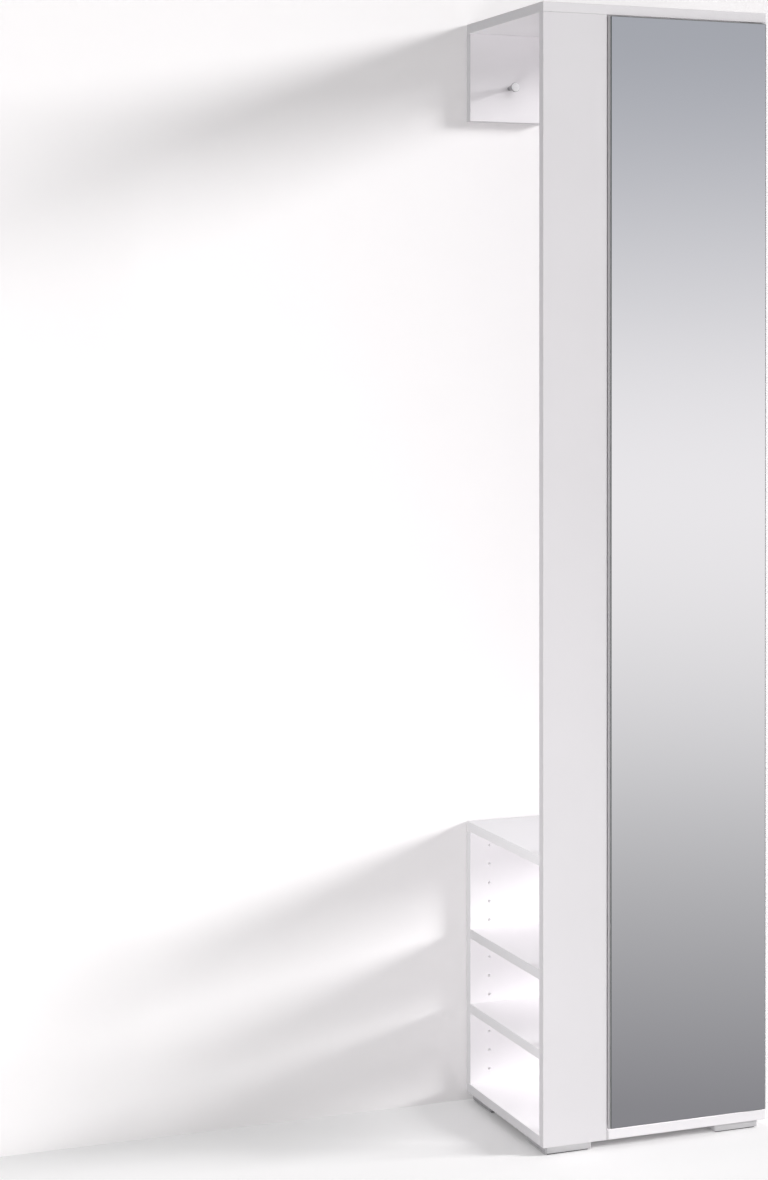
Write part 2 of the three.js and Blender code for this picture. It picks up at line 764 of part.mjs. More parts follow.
/** The latch's housing on the partition, with a bore for its plunger and a screw plate. */
function makeLatchHousing() {
  const bodyMiddle = latchFront + latchLength / 2;
  const body = easedBox(latchWidth, latchLength, latchTall, edgeEase);
  body.translate(latchX, bodyMiddle, latchHeight);
  const x0 = partitionRight + seam;
  const plateYs = [bodyMiddle - latchPlateLength / 2, bodyMiddle + latchPlateLength / 2];
  const plateZs = [latchHeight - latchPlateTall / 2, latchHeight + latchPlateTall / 2];
  const plate = block([x0, x0 + latchPlateThickness], plateYs, plateZs);
  const boreEnd = plungerFace + plungerLength + plungerTravel + runningGap;
  const boreStart = latchFront - overrun;
  const bore = bar(
    "y",
    plungerDiameter + 2 * runningFit,
    boreEnd - boreStart,
    [latchX, (boreStart + boreEnd) / 2, latchHeight],
  );
  return piece("latch_housing", cut(join([body, plate]), [bore]), greyPlastic);
}

/** The plunger with its wider tip, which the strike holds back. */
function makeLatchPlunger() {
  const rod = plungerDiameter / 2;
  const tip = plungerTipDiameter / 2;
  const shape = turned([
    [0, 0],
    [tip - edgeEase, 0],
    [tip, edgeEase],
    [tip, plungerTipLength - edgeEase],
    [rod, plungerTipLength],
    [rod, plungerLength],
    [0, plungerLength],
  ]);
  shape.rotateX(-Math.PI / 2);
  return piece("latch_plunger", shape, whitePlastic, latchX, plungerFace, latchHeight);
}

/** A bumper on the partition's front edge. */
function makeBumper(name, z) {
  const x = (partitionLeft + partitionRight) / 2;
  const bumper = bar("y", bumperDiameter, bumperThickness, [0, 0, 0]);
  return piece(name, bumper, clearRubber, x, stileBack - bumperThickness / 2, z);
}

/** A group that holds pieces. */
function group(pieces) {
  const holder = new THREE.Group();
  holder.add(...pieces);
  return holder;
}

const carcass = group([
  makeTopPanel(),
  makeBottomPanel(),
  makeFrontStile(),
  makeStopStrip(),
  makePartitionPanel(),
  makeRightSidePanel(),
  makeBackPanel(),
  makeWallBracket(),
]);

const niche = group([makeHookRail(), makeCoatHook(), makeHookStud()]);

const shoeBox = group([
  makeBoxWallPanel(),
  makeBoxTop(),
  makeShoeShelf("upper_shoe_shelf", shoeShelfHoles.upper),
  makeShoeShelf("lower_shoe_shelf", shoeShelfHoles.lower),
  ...makeShoeShelfPins(),
]);

const cabinet = group([
  makeInnerShelf("hat_shelf", hatShelfHeight, seam),
  makeInnerShelf("middle_shelf", middleShelfHeight, seam),
  makeInnerShelf("lower_inner_shelf", holeZ(innerShelfHoleCount) + shelfSeat, shelfEndGap),
  ...makeInnerShelfPins(),
  makeClothesRail(),
  makeRailSocket("rail_socket_left", partitionRight + seam, 1),
  makeRailSocket("rail_socket_right", sideLeft - seam, -1),
]);

const hinges = group([
  ...makeHinge("bottom", floorTop, 1),
  ...makeHinge("top", topUnderside, -1),
]);

const door = group([
  makeDoorLeaf(),
  makeMirror(),
  makeMirrorTape(),
  makeBush("bottom_hinge_bush", doorBottom, 1),
  makeBush("top_hinge_bush", doorTop, -1),
  makeStrike(),
]);

const latch = group([
  makeLatchHousing(),
  makeLatchPlunger(),
  makeBumper("lower_bumper", doorBottom + bumperEndSetback),
  makeBumper("upper_bumper", doorTop - bumperEndSetback),
]);

const wardrobe = group([carcass, niche, shoeBox, cabinet, hinges, door, latch, group(makeFeet())]);

export default wardrobe;
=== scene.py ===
"""Looks of the kids wardrobe: finishes for its parts, finer fittings, a studio and a camera."""

import json
import logging
import math
from abc import ABC, abstractmethod
from dataclasses import dataclass, replace
from enum import Enum
from typing import Any, Sequence

import bmesh
import bpy
from mathutils import Matrix, Vector


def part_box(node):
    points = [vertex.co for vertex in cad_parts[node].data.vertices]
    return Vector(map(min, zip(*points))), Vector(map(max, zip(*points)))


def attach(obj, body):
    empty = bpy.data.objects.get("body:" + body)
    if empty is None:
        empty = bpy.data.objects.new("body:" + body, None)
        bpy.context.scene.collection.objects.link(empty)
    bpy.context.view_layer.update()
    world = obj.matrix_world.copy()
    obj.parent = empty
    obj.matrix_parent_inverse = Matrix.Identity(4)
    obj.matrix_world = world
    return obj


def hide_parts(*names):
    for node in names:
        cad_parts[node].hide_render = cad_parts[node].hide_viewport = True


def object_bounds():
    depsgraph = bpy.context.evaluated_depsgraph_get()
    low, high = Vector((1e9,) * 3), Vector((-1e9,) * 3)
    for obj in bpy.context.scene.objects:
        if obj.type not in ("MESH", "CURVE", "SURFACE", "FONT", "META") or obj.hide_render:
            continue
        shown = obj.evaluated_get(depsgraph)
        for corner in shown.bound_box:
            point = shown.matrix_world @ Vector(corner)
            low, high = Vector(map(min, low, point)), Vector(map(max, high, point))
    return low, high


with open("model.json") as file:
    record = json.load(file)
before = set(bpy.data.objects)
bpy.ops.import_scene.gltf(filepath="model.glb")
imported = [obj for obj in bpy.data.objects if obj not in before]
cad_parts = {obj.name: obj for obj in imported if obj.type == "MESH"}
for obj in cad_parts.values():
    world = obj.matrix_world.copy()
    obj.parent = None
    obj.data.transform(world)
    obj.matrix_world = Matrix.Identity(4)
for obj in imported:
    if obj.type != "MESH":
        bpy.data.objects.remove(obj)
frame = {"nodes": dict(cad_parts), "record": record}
CAD_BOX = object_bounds()

log = logging.getLogger("wardrobe")
MM = 0.001
OVERRUN = 1.0 * MM  # how far a cutter stands out of what it cuts
PHOTO_WIDTH = 768
PHOTO_HEIGHT = 1180
Colour = tuple[float, float, float]
Pair = tuple[float, float]
Profile = tuple[tuple[float, ...], ...]  # distance from the axis, height and any rounding of each corner, in mm


class Value:
    """A node's output that takes part in sums; each sum adds the Math node that it needs."""

    def __init__(self, graph: "Graph", socket: bpy.types.NodeSocket) -> None:
        """Keeps the graph that new nodes go to, and the output socket."""
        self.graph = graph
        self.socket = socket

    def _math(self, operation: str, left: Any, right: Any = 0.0) -> "Value":
        """Adds one Math node on two terms."""
        return self.graph.add("ShaderNodeMath", {"operation": operation}, {0: left, 1: right})

    def __add__(self, other: Any) -> "Value":
        """The sum of this and another term."""
        return self._math("ADD", self, other)

    def __radd__(self, other: Any) -> "Value":
        """The sum, with the number first."""
        return self._math("ADD", other, self)

    def __sub__(self, other: Any) -> "Value":
        """This less another term."""
        return self._math("SUBTRACT", self, other)

    def __rsub__(self, other: Any) -> "Value":
        """A number less this."""
        return self._math("SUBTRACT", other, self)

    def __mul__(self, other: Any) -> "Value":
        """The product of this and another term."""
        return self._math("MULTIPLY", self, other)

    def __abs__(self) -> "Value":
        """The size of this without its sign."""
        return self._math("ABSOLUTE", self)

    def above(self, edge: float) -> "Value":
        """One where this is over the edge, and zero elsewhere."""
        return self._math("GREATER_THAN", self, edge)

    def between(self, first: float, last: float) -> "Value":
        """From a first number, where this is zero, to a last one, where this is one."""
        return self * (last - first) + first

    def ramp(self, low: float, high: float) -> "Value":
        """Zero up to the low value, one from the high value, and smooth between them."""
        settings = {"interpolation_type": "SMOOTHSTEP"}
        return self.graph.add("ShaderNodeMapRange", settings, {0: self, 1: low, 2: high})


@dataclass(frozen=True)
class Layer:
    """A layer of noise.

    It has its waves in a metre, its finer detail, how much denser it runs along each axis, and the span of the noise
    over which it rises from zero to one.
    """

    scale: float
    detail: float = 2.0
    stretch: Colour = (1.0, 1.0, 1.0)
    span: Pair | None = None


class Graph:
    """A node tree to which nodes are added by type, settings and socket values."""

    def __init__(self, tree: bpy.types.NodeTree) -> None:
        """Takes over the tree of a material or a world, and empties it."""
        self.tree = tree
        tree.nodes.clear()

    def add(self, kind: str, settings: dict[str, Any], sockets: dict[Any, Any], output: Any = 0) -> Value:
        """Adds one node.

        Args:
            kind: The node's type.
            settings: The node's own settings, set first.
            sockets: Values, or links from other nodes, for its inputs.
            output: The output that is wanted.

        Returns:
            The output, ready for sums.
        """
        node = self.tree.nodes.new(kind)
        for name, value in settings.items():
            setattr(node, name, value)
        for key, value in sockets.items():
            self.feed(node.inputs[key], value)
        return Value(self, node.outputs[output] if node.outputs else None)

    def feed(self, socket: bpy.types.NodeSocket, value: Any) -> None:
        """Links a value to an input, or sets the input to a number or colour.

        Args:
            socket: The input.
            value: A value of this graph, a number or a colour.
        """
        if isinstance(value, Value):
            self.tree.links.new(value.socket, socket)
        elif socket.type == "RGBA":
            socket.default_value = (*value, 1.0)
        else:
            socket.default_value = value

    def facing(self) -> tuple[Value, Value, Value]:
        """Tells how squarely the surface looks along each axis, either way.

        Returns:
            A value from zero to one for X, Y and Z.
        """
        normal = self.add("ShaderNodeTexCoord", {}, {}, "Normal")
        split = self.add("ShaderNodeSeparateXYZ", {}, {0: normal})
        outputs = split.socket.node.outputs
        return tuple(abs(Value(self, outputs[axis])) for axis in "XYZ")

    def noise(self, layer: Layer) -> Value:
        """Lays a layer of noise, fixed to the object.

        Args:
            layer: The layer.

        Returns:
            The noise, between zero and one.
        """
        place = self.add("ShaderNodeTexCoord", {}, {}, "Object")
        scaled = self.add("ShaderNodeMapping", {}, {"Vector": place, "Scale": layer.stretch})
        sockets = {"Vector": scaled, "Scale": layer.scale, "Detail": layer.detail}
        noise = self.add("ShaderNodeTexNoise", {}, sockets)
        return noise.ramp(*layer.span) if layer.span else noise

    def mix(self, factor: Any, first: Any, second: Any) -> Value:
        """A colour between two others."""
        return self.add("ShaderNodeMix", {"data_type": "RGBA"}, {0: factor, 6: first, 7: second}, 2)

    def bump(self, height: Any, depth: float, strength: float) -> Value:
        """The normal over a height field, where one means the depth."""
        return self.add("ShaderNodeBump", {}, {"Height": height, "Distance": depth, "Strength": strength})


class Heading(Enum):
    """A way to face, as a unit step."""

    RIGHT = (1.0, 0.0, 0.0)
    LEFT = (-1.0, 0.0, 0.0)
    BACK = (0.0, 1.0, 0.0)
    FRONT = (0.0, -1.0, 0.0)
    UP = (0.0, 0.0, 1.0)
    DOWN = (0.0, 0.0, -1.0)

    def turn(self) -> Matrix:
        """Turns +Z to this heading. Sideways, +Y then stands upright.

        Returns:
            The turn.
        """
        if self is Heading.UP:
            return Matrix.Identity(4)
        if self is Heading.DOWN:
            return Matrix.Rotation(math.pi, 4, "X")
        return Vector(self.value).to_track_quat("Z", "Y").to_matrix().to_4x4()

    def end(self, node: str) -> Vector:
        """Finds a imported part's side that looks this way.

        Args:
            node: The part's name.

        Returns:
            The middle of that side.
        """
        low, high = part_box(node)
        step = Vector(self.value)
        return (low + high) / 2 + Vector(abs(a) * b for a, b in zip(step, (high - low) / 2)) * sum(step)


def rectangle(low: Sequence[float], high: Sequence[float]) -> list[Pair]:
    """The corners of a rectangle in the plane, anticlockwise, from its lowest and its highest one."""
    return [(low[0], low[1]), (high[0], low[1]), (high[0], high[1]), (low[0], high[1])]


def in_metres(profile: Profile) -> list[list[float]]:
    """A profile in metres."""
    return [[value * MM for value in corner] for corner in profile]


def add_object(data: bpy.types.ID) -> bpy.types.Object:
    """Puts data into the scene.

    Args:
        data: A mesh, a lamp or a camera.

    Returns:
        Its object, with the same name.
    """
    made = bpy.data.objects.new(data.name, data)
    bpy.context.scene.collection.objects.link(made)
    return made


def add_sheet(name: str, corners: Sequence[Sequence[float]]) -> bpy.types.Object:
    """Makes a flat sheet.

    Args:
        name: Its name.
        corners: Its corners, anticlockwise as seen from its front.

    Returns:
        The sheet.
    """
    mesh = bpy.data.meshes.new(name)
    mesh.from_pydata(corners, [], [range(len(corners))])
    return add_object(mesh)


def hide(thing: bpy.types.Object, *rays: str) -> None:
    """Hides an object from some kinds of ray."""
    for ray in rays:
        setattr(thing, f"visible_{ray}", False)


class Outline:
    """A closed line of points in the plane, in metres."""

    def __init__(self, points: Sequence[Any]) -> None:
        """Keeps the points, anticlockwise."""
        self.points = [Vector(point) for point in points]

    @classmethod
    def rounded(cls, corners: Sequence[Sequence[float]], steps: int = 6) -> "Outline":
        """Rounds corners off.

        Args:
            corners: The place of each corner and, where it is round, how far from it the rounding starts.
            steps: How finely each one is divided.

        Returns:
            The outline.
        """
        places = [Vector(corner[:2]) for corner in corners]
        points = []
        for i, (here, corner) in enumerate(zip(places, corners)):
            if len(corner) == 2:
                points.append(here)
                continue
            start = here + (places[i - 1] - here).normalized() * corner[2]
            end = here + (places[(i + 1) % len(places)] - here).normalized() * corner[2]
            for step in range(steps + 1):
                t = step / steps
                points.append(start.lerp(here, t).lerp(here.lerp(end, t), t))
        return cls(points)

    @classmethod
    def oblong(cls, tall: float, wide: float, steps: int = 20) -> "Outline":
        """An oblong with half-round ends.

        Args:
            tall: Its height over the ends.
            wide: Its width.
            steps: How finely each end is divided.

        Returns:
            The outline, about its middle.
        """
        radius = wide / 2
        points = []
        for start, lift in ((0.0, tall / 2 - radius), (math.pi, radius - tall / 2)):
            for step in range(steps + 1):
                angle = start + math.pi * step / steps
                points.append((radius * math.cos(angle), lift + radius * math.sin(angle)))
        return cls(points)


class Shape:
    """A mesh under construction, in metres."""

    MERGE = 0.001 * MM  # points nearer than this are one
    CREASE = math.radians(35)  # edges bent more than this stay sharp
    BEVEL = {"segments": 3, "profile": 0.5, "affect": "EDGES", "clamp_overlap": True}

    def __init__(self) -> None:
        """Starts empty."""
        self.bm = bmesh.new()

    def _loft(self, loops: Sequence[Sequence[Vector]], closed: bool = False) -> "Shape":
        """Skins loops of points, where a loop of one point is a tip.

        Args:
            loops: The loops, from the bottom up.
            closed: Whether the last loop joins the first.

        Returns:
            This shape.
        """
        rings = [[self.bm.verts.new(point) for point in loop] for loop in loops]
        count = max(len(ring) for ring in rings)
        pairs = list(zip(rings, rings[1:])) + ([(rings[-1], rings[0])] if closed else [])
        for low, high in pairs:
            for i in range(count):
                j = (i + 1) % count
                corners = [low[i % len(low)], low[j % len(low)], high[j % len(high)], high[i % len(high)]]
                distinct = list(dict.fromkeys(corners))
                if len(distinct) > 2:
                    self.bm.faces.new(distinct)
        return self

    @classmethod
    def turned(cls, corners: Sequence[Sequence[float]], sides: int = 40, steps: int = 6) -> "Shape":
        """Turns a profile about Z, and closes it onto the axis at both ends.

        Args:
            corners: Distance from the axis, height and any rounding of each corner.
            sides: How finely it is divided round the axis.
            steps: How finely each rounding is divided.

        Returns:
            The shape.
        """
        first, last = ([(0.0, corners[i][1])] if corners[i][0] else [] for i in (0, -1))
        loops = []
        for radius, height in Outline.rounded([*first, *corners, *last], steps).points:
            angles = [2 * math.pi * i / sides for i in range(sides)] if radius else [0.0]
            loops.append([Vector((radius * math.cos(a), radius * math.sin(a), height)) for a in angles])
        return cls()._loft(loops)

    @classmethod
    def sleeve(cls, outer: Outline, inner: Outline, low: float, high: float) -> "Shape":
        """Makes a tube of any outline.

        Args:
            outer: Its outside.
            inner: Its bore, with as many points.
            low: Where it starts along Z.
            high: Where it ends.

        Returns:
            The shape.
        """
        sides = ((outer, low), (outer, high), (inner, high), (inner, low))
        loops = [[Vector((*point, height)) for point in outline.points] for outline, height in sides]
        return cls()._loft(loops, True)

    def _ease(self, edges: Sequence[bmesh.types.BMEdge], reach: float) -> "Shape":
        """Rounds edges off.

        Args:
            edges: The edges.
            reach: How far from them the rounding starts, or zero for none.

        Returns:
            This shape.
        """
        if reach:
            bmesh.ops.bevel(self.bm, geom=edges, offset=reach, **self.BEVEL)
        return self

    @classmethod
    def slab(cls, outline: Outline, low: float, high: float, ease: float = 0.0) -> "Shape":
        """Makes a plate of any outline.

        Args:
            outline: Its outline.
            low: Its underside along Z.
            high: Its top.
            ease: How far its rims are rounded.

        Returns:
            The shape.
        """
        made = cls()
        face = made.bm.faces.new([made.bm.verts.new((*point, low)) for point in outline.points])
        side = bmesh.ops.extrude_face_region(made.bm, geom=[face])["geom"]
        raised = [item for item in side if isinstance(item, bmesh.types.BMVert)]
        bmesh.ops.translate(made.bm, verts=raised, vec=(0, 0, high - low))
        return made._ease([e for e in made.bm.edges if abs(e.verts[0].co.z - e.verts[1].co.z) < ease / 2], ease)

    @classmethod
    def block(cls, low: Sequence[float], high: Sequence[float], ease: float = 0.0) -> "Shape":
        """Makes a block from its lowest and highest corners, with every edge rounded."""
        made = cls.slab(Outline(rectangle(low, high)), low[2], high[2])
        return made._ease(made.bm.edges[:], ease)

    def placed(self, place: Sequence[float], heading: Heading = Heading.UP) -> "Shape":
        """Turns +Z to a heading and moves the origin to a place."""
        bmesh.ops.transform(self.bm, matrix=Matrix.Translation(place) @ heading.turn(), verts=self.bm.verts)
        return self

    def join(self, *others: "Shape") -> "Shape":
        """Adds other shapes' meshes to this one.

        Args:
            others: The shapes, which are used up.

        Returns:
            This shape.
        """
        for other in others:
            spare = other.mesh("spare")
            self.bm.from_mesh(spare)
            bpy.data.meshes.remove(spare)
        return self

    def trimmed(self, height: float) -> "Shape":
        """Cuts off what lies above a height along Y, and closes the cut.

        Args:
            height: The height.

        Returns:
            This shape.
        """
        geometry = self.bm.verts[:] + self.bm.edges[:] + self.bm.faces[:]
        cut = bmesh.ops.bisect_plane(
            self.bm, geom=geometry, plane_co=(0, height, 0), plane_no=(0, 1, 0), clear_outer=True
        )
        rim = [item for item in cut["geom_cut"] if isinstance(item, bmesh.types.BMEdge)]
        bmesh.ops.contextual_create(self.bm, geom=rim)
        return self

    def carved(self, *cutters: "Shape") -> "Shape":
        """Takes other shapes out of this one.

        Args:
            cutters: The shapes to take out.

        Returns:
            This shape.
        """
        tools = [cutter.model("cutter") for cutter in cutters]
        body = self.model("carved")
        for tool in tools:
            modifier = body.modifiers.new("cut", "BOOLEAN")
            modifier.solver = "EXACT"
            modifier.object = tool
        bpy.context.view_layer.update()
        made = bpy.data.meshes.new_from_object(body.evaluated_get(bpy.context.evaluated_depsgraph_get()))
        self.bm = bmesh.new()
        self.bm.from_mesh(made)
        for spare in (body, *tools):
            bpy.data.meshes.remove(spare.data)
        bpy.data.meshes.remove(made)
        return self

    def mesh(self, name: str) -> bpy.types.Mesh:
        """Turns the shape into a mesh, smooth but for its sharp edges.

        Args:
            name: The mesh's name.

        Returns:
            The mesh. The shape is used up.
        """
        bmesh.ops.remove_doubles(self.bm, verts=self.bm.verts, dist=self.MERGE)
        bmesh.ops.recalc_face_normals(self.bm, faces=self.bm.faces)
        made = bpy.data.meshes.new(name)
        self.bm.to_mesh(made)
        self.bm.free()
        made.shade_smooth()
        made.set_sharp_from_angle(angle=self.CREASE)
        return made

    def model(self, name: str) -> bpy.types.Object:
        """Puts the shape into the scene."""
        return add_object(self.mesh(name))


@dataclass(frozen=True)
class Finish(ABC):
    """A finish that one slot of the record stands for."""

    name: str
    slot: str
    colour: Colour

    def material(self) -> bpy.types.Material:
        """Makes the material.

        Returns:
            A material with a Principled shader, painted by the finish.
        """
        made = bpy.data.materials.new(self.name)
        made.use_nodes = True
        graph = Graph(made.node_tree)
        shader = graph.add("ShaderNodeBsdfPrincipled", {}, {}, "BSDF")
        graph.add("ShaderNodeOutputMaterial", {}, {"Surface": shader})
        for name, value in self.paint(graph).items():
            graph.feed(shader.socket.node.inputs[name], value)
        return made

    def shade(self, share: float, lift: float = 0.0) -> Colour:
        """The finish's colour times a share, plus a lift."""
        return tuple(min(1.0, part * share + lift) for part in self.colour)

    @abstractmethod
    def paint(self, graph: Graph) -> dict[str, Any]:
        """Works out the shader's inputs.

        Args:
            graph: The material's nodes.

        Returns:
            A value for each input that differs from the shader's own.
        """


class Lie(Enum):
    """Which way a board's broad faces look."""

    SIDE = 0
    FRONT = 1
    FLAT = 2


@dataclass(frozen=True)
class Melamine(Finish):
    """White melamine board: satin pearl faces and smoother edge bands with a fine glue line."""

    lie: Lie = Lie.FRONT
    band: Colour = (0.84, 0.82, 0.84)
    glue: Colour = (0.56, 0.55, 0.545)
    face_span: Pair = (0.85, 0.95)  # how squarely a broad face looks along its axis
    line_span: Pair = (0.2, 0.4)
    line_shares: Pair = (0.35, 0.3)  # how much glue shows, and how much more where it is rubbed
    pearl: Layer = Layer(1600.0, 1.0)
    pearl_depth: float = 0.02 * MM
    band_pearl: float = 0.2
    cloud: Layer = Layer(5.0, 3.0)
    cloud_span: Pair = (0.3, 0.7)
    cloud_shade: float = 0.985
    rub: Layer = Layer(60.0, 4.0, span=(0.52, 0.75))
    roughness: float = 0.36
    dulling: Colour = (0.1, 0.04, 0.05)  # what the face, the clouds and the pearl add

    def paint(self, graph: Graph) -> dict[str, Any]:
        """Tells faces from bands and glue lines by the way the surface looks.

        Args:
            graph: The material's nodes.

        Returns:
            A value for each input that differs from the shader's own.
        """
        broad = graph.facing()[self.lie.value]
        on_face = broad.ramp(*self.face_span)
        on_line = broad.ramp(*self.line_span) * (1.0 - on_face)
        pearl, cloud = graph.noise(self.pearl), graph.noise(self.cloud)
        face = graph.mix(cloud.ramp(*self.cloud_span), self.colour, self.shade(self.cloud_shade))
        line, more = self.line_shares
        glued = on_line * (line + graph.noise(self.rub) * more)
        by_face, by_cloud, by_pearl = self.dulling
        return {
            "Base Color": graph.mix(glued, graph.mix(on_face, self.band, face), self.glue),
            "Roughness": self.roughness + on_face * by_face + cloud * by_cloud + pearl * by_pearl,
            "Normal": graph.bump(pearl * on_face.between(self.band_pearl, 1.0), self.pearl_depth, strength=0.5),
        }


@dataclass(frozen=True)
class Fibreboard(Finish):
    """Thin back board: white lacquer over pressed fibres."""

    raw: Colour = (0.42, 0.31, 0.2)
    broad: float = 0.8  # how squarely its faces look to the back
    fibres: Layer = Layer(420.0, 5.0, (1.0, 1.0, 0.35))
    fibre_depth: float = 0.03 * MM
    blotch: Layer = Layer(9.0, 3.0, span=(0.35, 0.7))
    blotch_shade: float = 0.97
    roughness: Pair = (0.55, 0.7)

    def paint(self, graph: Graph) -> dict[str, Any]:
        """Lays short fibres and a faint blotch over the lacquer, and leaves the edges raw.

        Args:
            graph: The material's nodes.

        Returns:
            A value for each input that differs from the shader's own.
        """
        fibres = graph.noise(self.fibres)
        lacquer = graph.mix(graph.noise(self.blotch), self.colour, self.shade(self.blotch_shade))
        return {
            "Base Color": graph.mix(graph.facing()[1].above(self.broad), self.raw, lacquer),
            "Roughness": fibres.between(*self.roughness),
            "Normal": graph.bump(fibres, self.fibre_depth, strength=0.6),
        }


@dataclass(frozen=True)
class MirrorGlass(Finish):
    """Silvered glass: a clear face with a trace of wiping, and a ground greenish edge."""

    edge: Colour = (0.12, 0.14, 0.135)
    edge_metallic: float = 0.15
    edge_roughness: Pair = (0.22, 0.32)
    face_span: Pair = (0.9, 0.98)  # how squarely the face looks to the front
    face_roughness: Pair = (0.008, 0.02)
    wiping: Layer = Layer(7.0, 5.0, (0.6, 1.0, 2.4), (0.5, 0.85))
    grinding: Layer = Layer(900.0)
    grinding_depth: float = 0.01 * MM

    def paint(self, graph: Graph) -> dict[str, Any]:
        """Keeps the face sharp, and frosts the ground edge round it.

        Args:
            graph: The material's nodes.

        Returns:
            A value for each input that differs from the shader's own.
        """
        face = graph.facing()[1].ramp(*self.face_span)
        edge = 1.0 - face
        ground = graph.noise(self.grinding)
        wiped = graph.noise(self.wiping).between(*self.face_roughness)
        return {
            "Base Color": graph.mix(face, self.edge, self.colour),
            "Metallic": face.between(self.edge_metallic, 1.0),
            "Roughness": edge * ground.between(*self.edge_roughness) + wiped,
            "Normal": graph.bump(ground * edge, self.grinding_depth, strength=0.4),
        }


@dataclass(frozen=True)
class Grained(Finish):
    """A fine grain all over, and wear in small clouds. Its defaults suit metal."""

    roughness: float
    grain: Layer
    grain_depth: float
    grain_roughness: float
    worn: Pair = (0.9, 0.0)  # share and lift of the colour where it is worn
    metallic: float = 1.0
    soft: float = 0.0  # how much light goes under the skin
    bleed: float = 2.0 * MM  # how far it goes
    wear: Layer = Layer(45.0, 5.0, span=(0.45, 0.8))
    wear_roughness: float = 0.06
    bump: float = 0.5

    def paint(self, graph: Graph) -> dict[str, Any]:
        """Lays the grain and the wear.

        Args:
            graph: The material's nodes.

        Returns:
            A value for each input that differs from the shader's own.
        """
        grain, worn = graph.noise(self.grain), graph.noise(self.wear)
        rough = self.roughness + grain * self.grain_roughness + worn * self.wear_roughness
        return {
            "Base Color": graph.mix(worn, self.colour, self.shade(*self.worn)),
            "Metallic": self.metallic,
            "Roughness": rough,
            "Subsurface Weight": self.soft,
            "Subsurface Scale": self.bleed,
            "Normal": graph.bump(grain, self.grain_depth, self.bump),
        }


@dataclass(frozen=True)
class FacedMetal(Finish):
    """Turned metal with a satin face along Y and polished flanks; the face's pale colour and the flanks' dark colour
    are painted light and shade by the way each part faces.
    """

    # painted shade: the flanks' dark colour
    shaded_flank: Colour
    face_span: Pair = (0.6, 0.9)  # how squarely the face looks to the front
    metallic: Pair = (0.9, 0.2)  # of the flanks and of the face
    roughness: Pair = (0.12, 0.3)
    grain: Layer = Layer(700.0, 3.0, (1.0, 4.0, 1.0))
    grain_depth: float = 0.004 * MM
    grain_roughness: float = 0.05

    def paint(self, graph: Graph) -> dict[str, Any]:
        """Tells the face from the flanks by the way the surface looks.

        Args:
            graph: The material's nodes.

        Returns:
            A value for each input that differs from the shader's own.
        """
        face = graph.facing()[1].ramp(*self.face_span)
        grain = graph.noise(self.grain)
        return {
            # painted light and shade: pale colour on the front face, dark colour on the flanks
            "Base Color": graph.mix(face, self.shaded_flank, self.colour),
            "Metallic": face.between(*self.metallic),
            "Roughness": face.between(*self.roughness) + grain * self.grain_roughness,
            "Normal": graph.bump(grain, self.grain_depth, strength=0.5),
        }


@dataclass(frozen=True)
class Moulded(Grained):
    """Moulded plastic or rubber with a fine spark-eroded skin, rubbed brighter in small clouds."""

    roughness: float = 0.45
    grain: Layer = Layer(1800.0)
    grain_depth: float = 0.02 * MM
    grain_roughness: float = 0.12
    worn: Pair = (1.06, 0.004)
    metallic: float = 0.0
    wear: Layer = Layer(80.0, 4.0, span=(0.55, 0.8))
    wear_roughness: float = -0.08
    bump: float = 0.6


@dataclass(frozen=True)
class Felt(Finish):
    """Pressed felt: dark, dull and matted."""

    fibres: Layer = Layer(2600.0, 6.0, (1.0, 1.0, 0.4))
    mat: Layer = Layer(700.0, 4.0)
    pale_shade: float = 2.2
    pale_share: float = 1.6  # how fast the fibres turn pale
    depth: float = 0.2 * MM
    roughness: float = 0.95

    def paint(self, graph: Graph) -> dict[str, Any]:
        """Mats two layers of fibres of different scale.

        Args:
            graph: The material's nodes.

        Returns:
            A value for each input that differs from the shader's own.
        """
        fine, mat = graph.noise(self.fibres), graph.noise(self.mat)
        return {
            "Base Color": graph.mix(fine * mat * self.pale_share, self.colour, self.shade(self.pale_shade)),
            "Roughness": self.roughness,
            "Normal": graph.bump(fine + mat, self.depth, strength=0.8),
        }


WHITE: Colour = (0.805, 0.785, 0.805)
BOARDS = {lie: Melamine(f"white_melamine_{lie.name.lower()}", "white_board", WHITE, lie) for lie in Lie}
BACK = Fibreboard("white_fibreboard", "back_board", (0.8, 0.795, 0.78))
MIRROR = MirrorGlass("silvered_glass", "mirror", (0.965, 0.958, 0.972))
TAPE = Moulded("foam_tape", "tape", (0.05, 0.05, 0.055), 0.85, Layer(900.0), 0.1 * MM)
POLISHED = Layer(500.0, 3.0)
BRUSHED = Layer(260.0, 3.0, (6.0, 1.0, 1.0))
DRAWN = Layer(300.0, 3.0, (1.0, 8.0, 8.0))
CHROME = Grained("polished_chrome", "chrome", (0.78, 0.785, 0.8), 0.06, POLISHED, 0.004 * MM, 0.024, (0.95, 0.0))
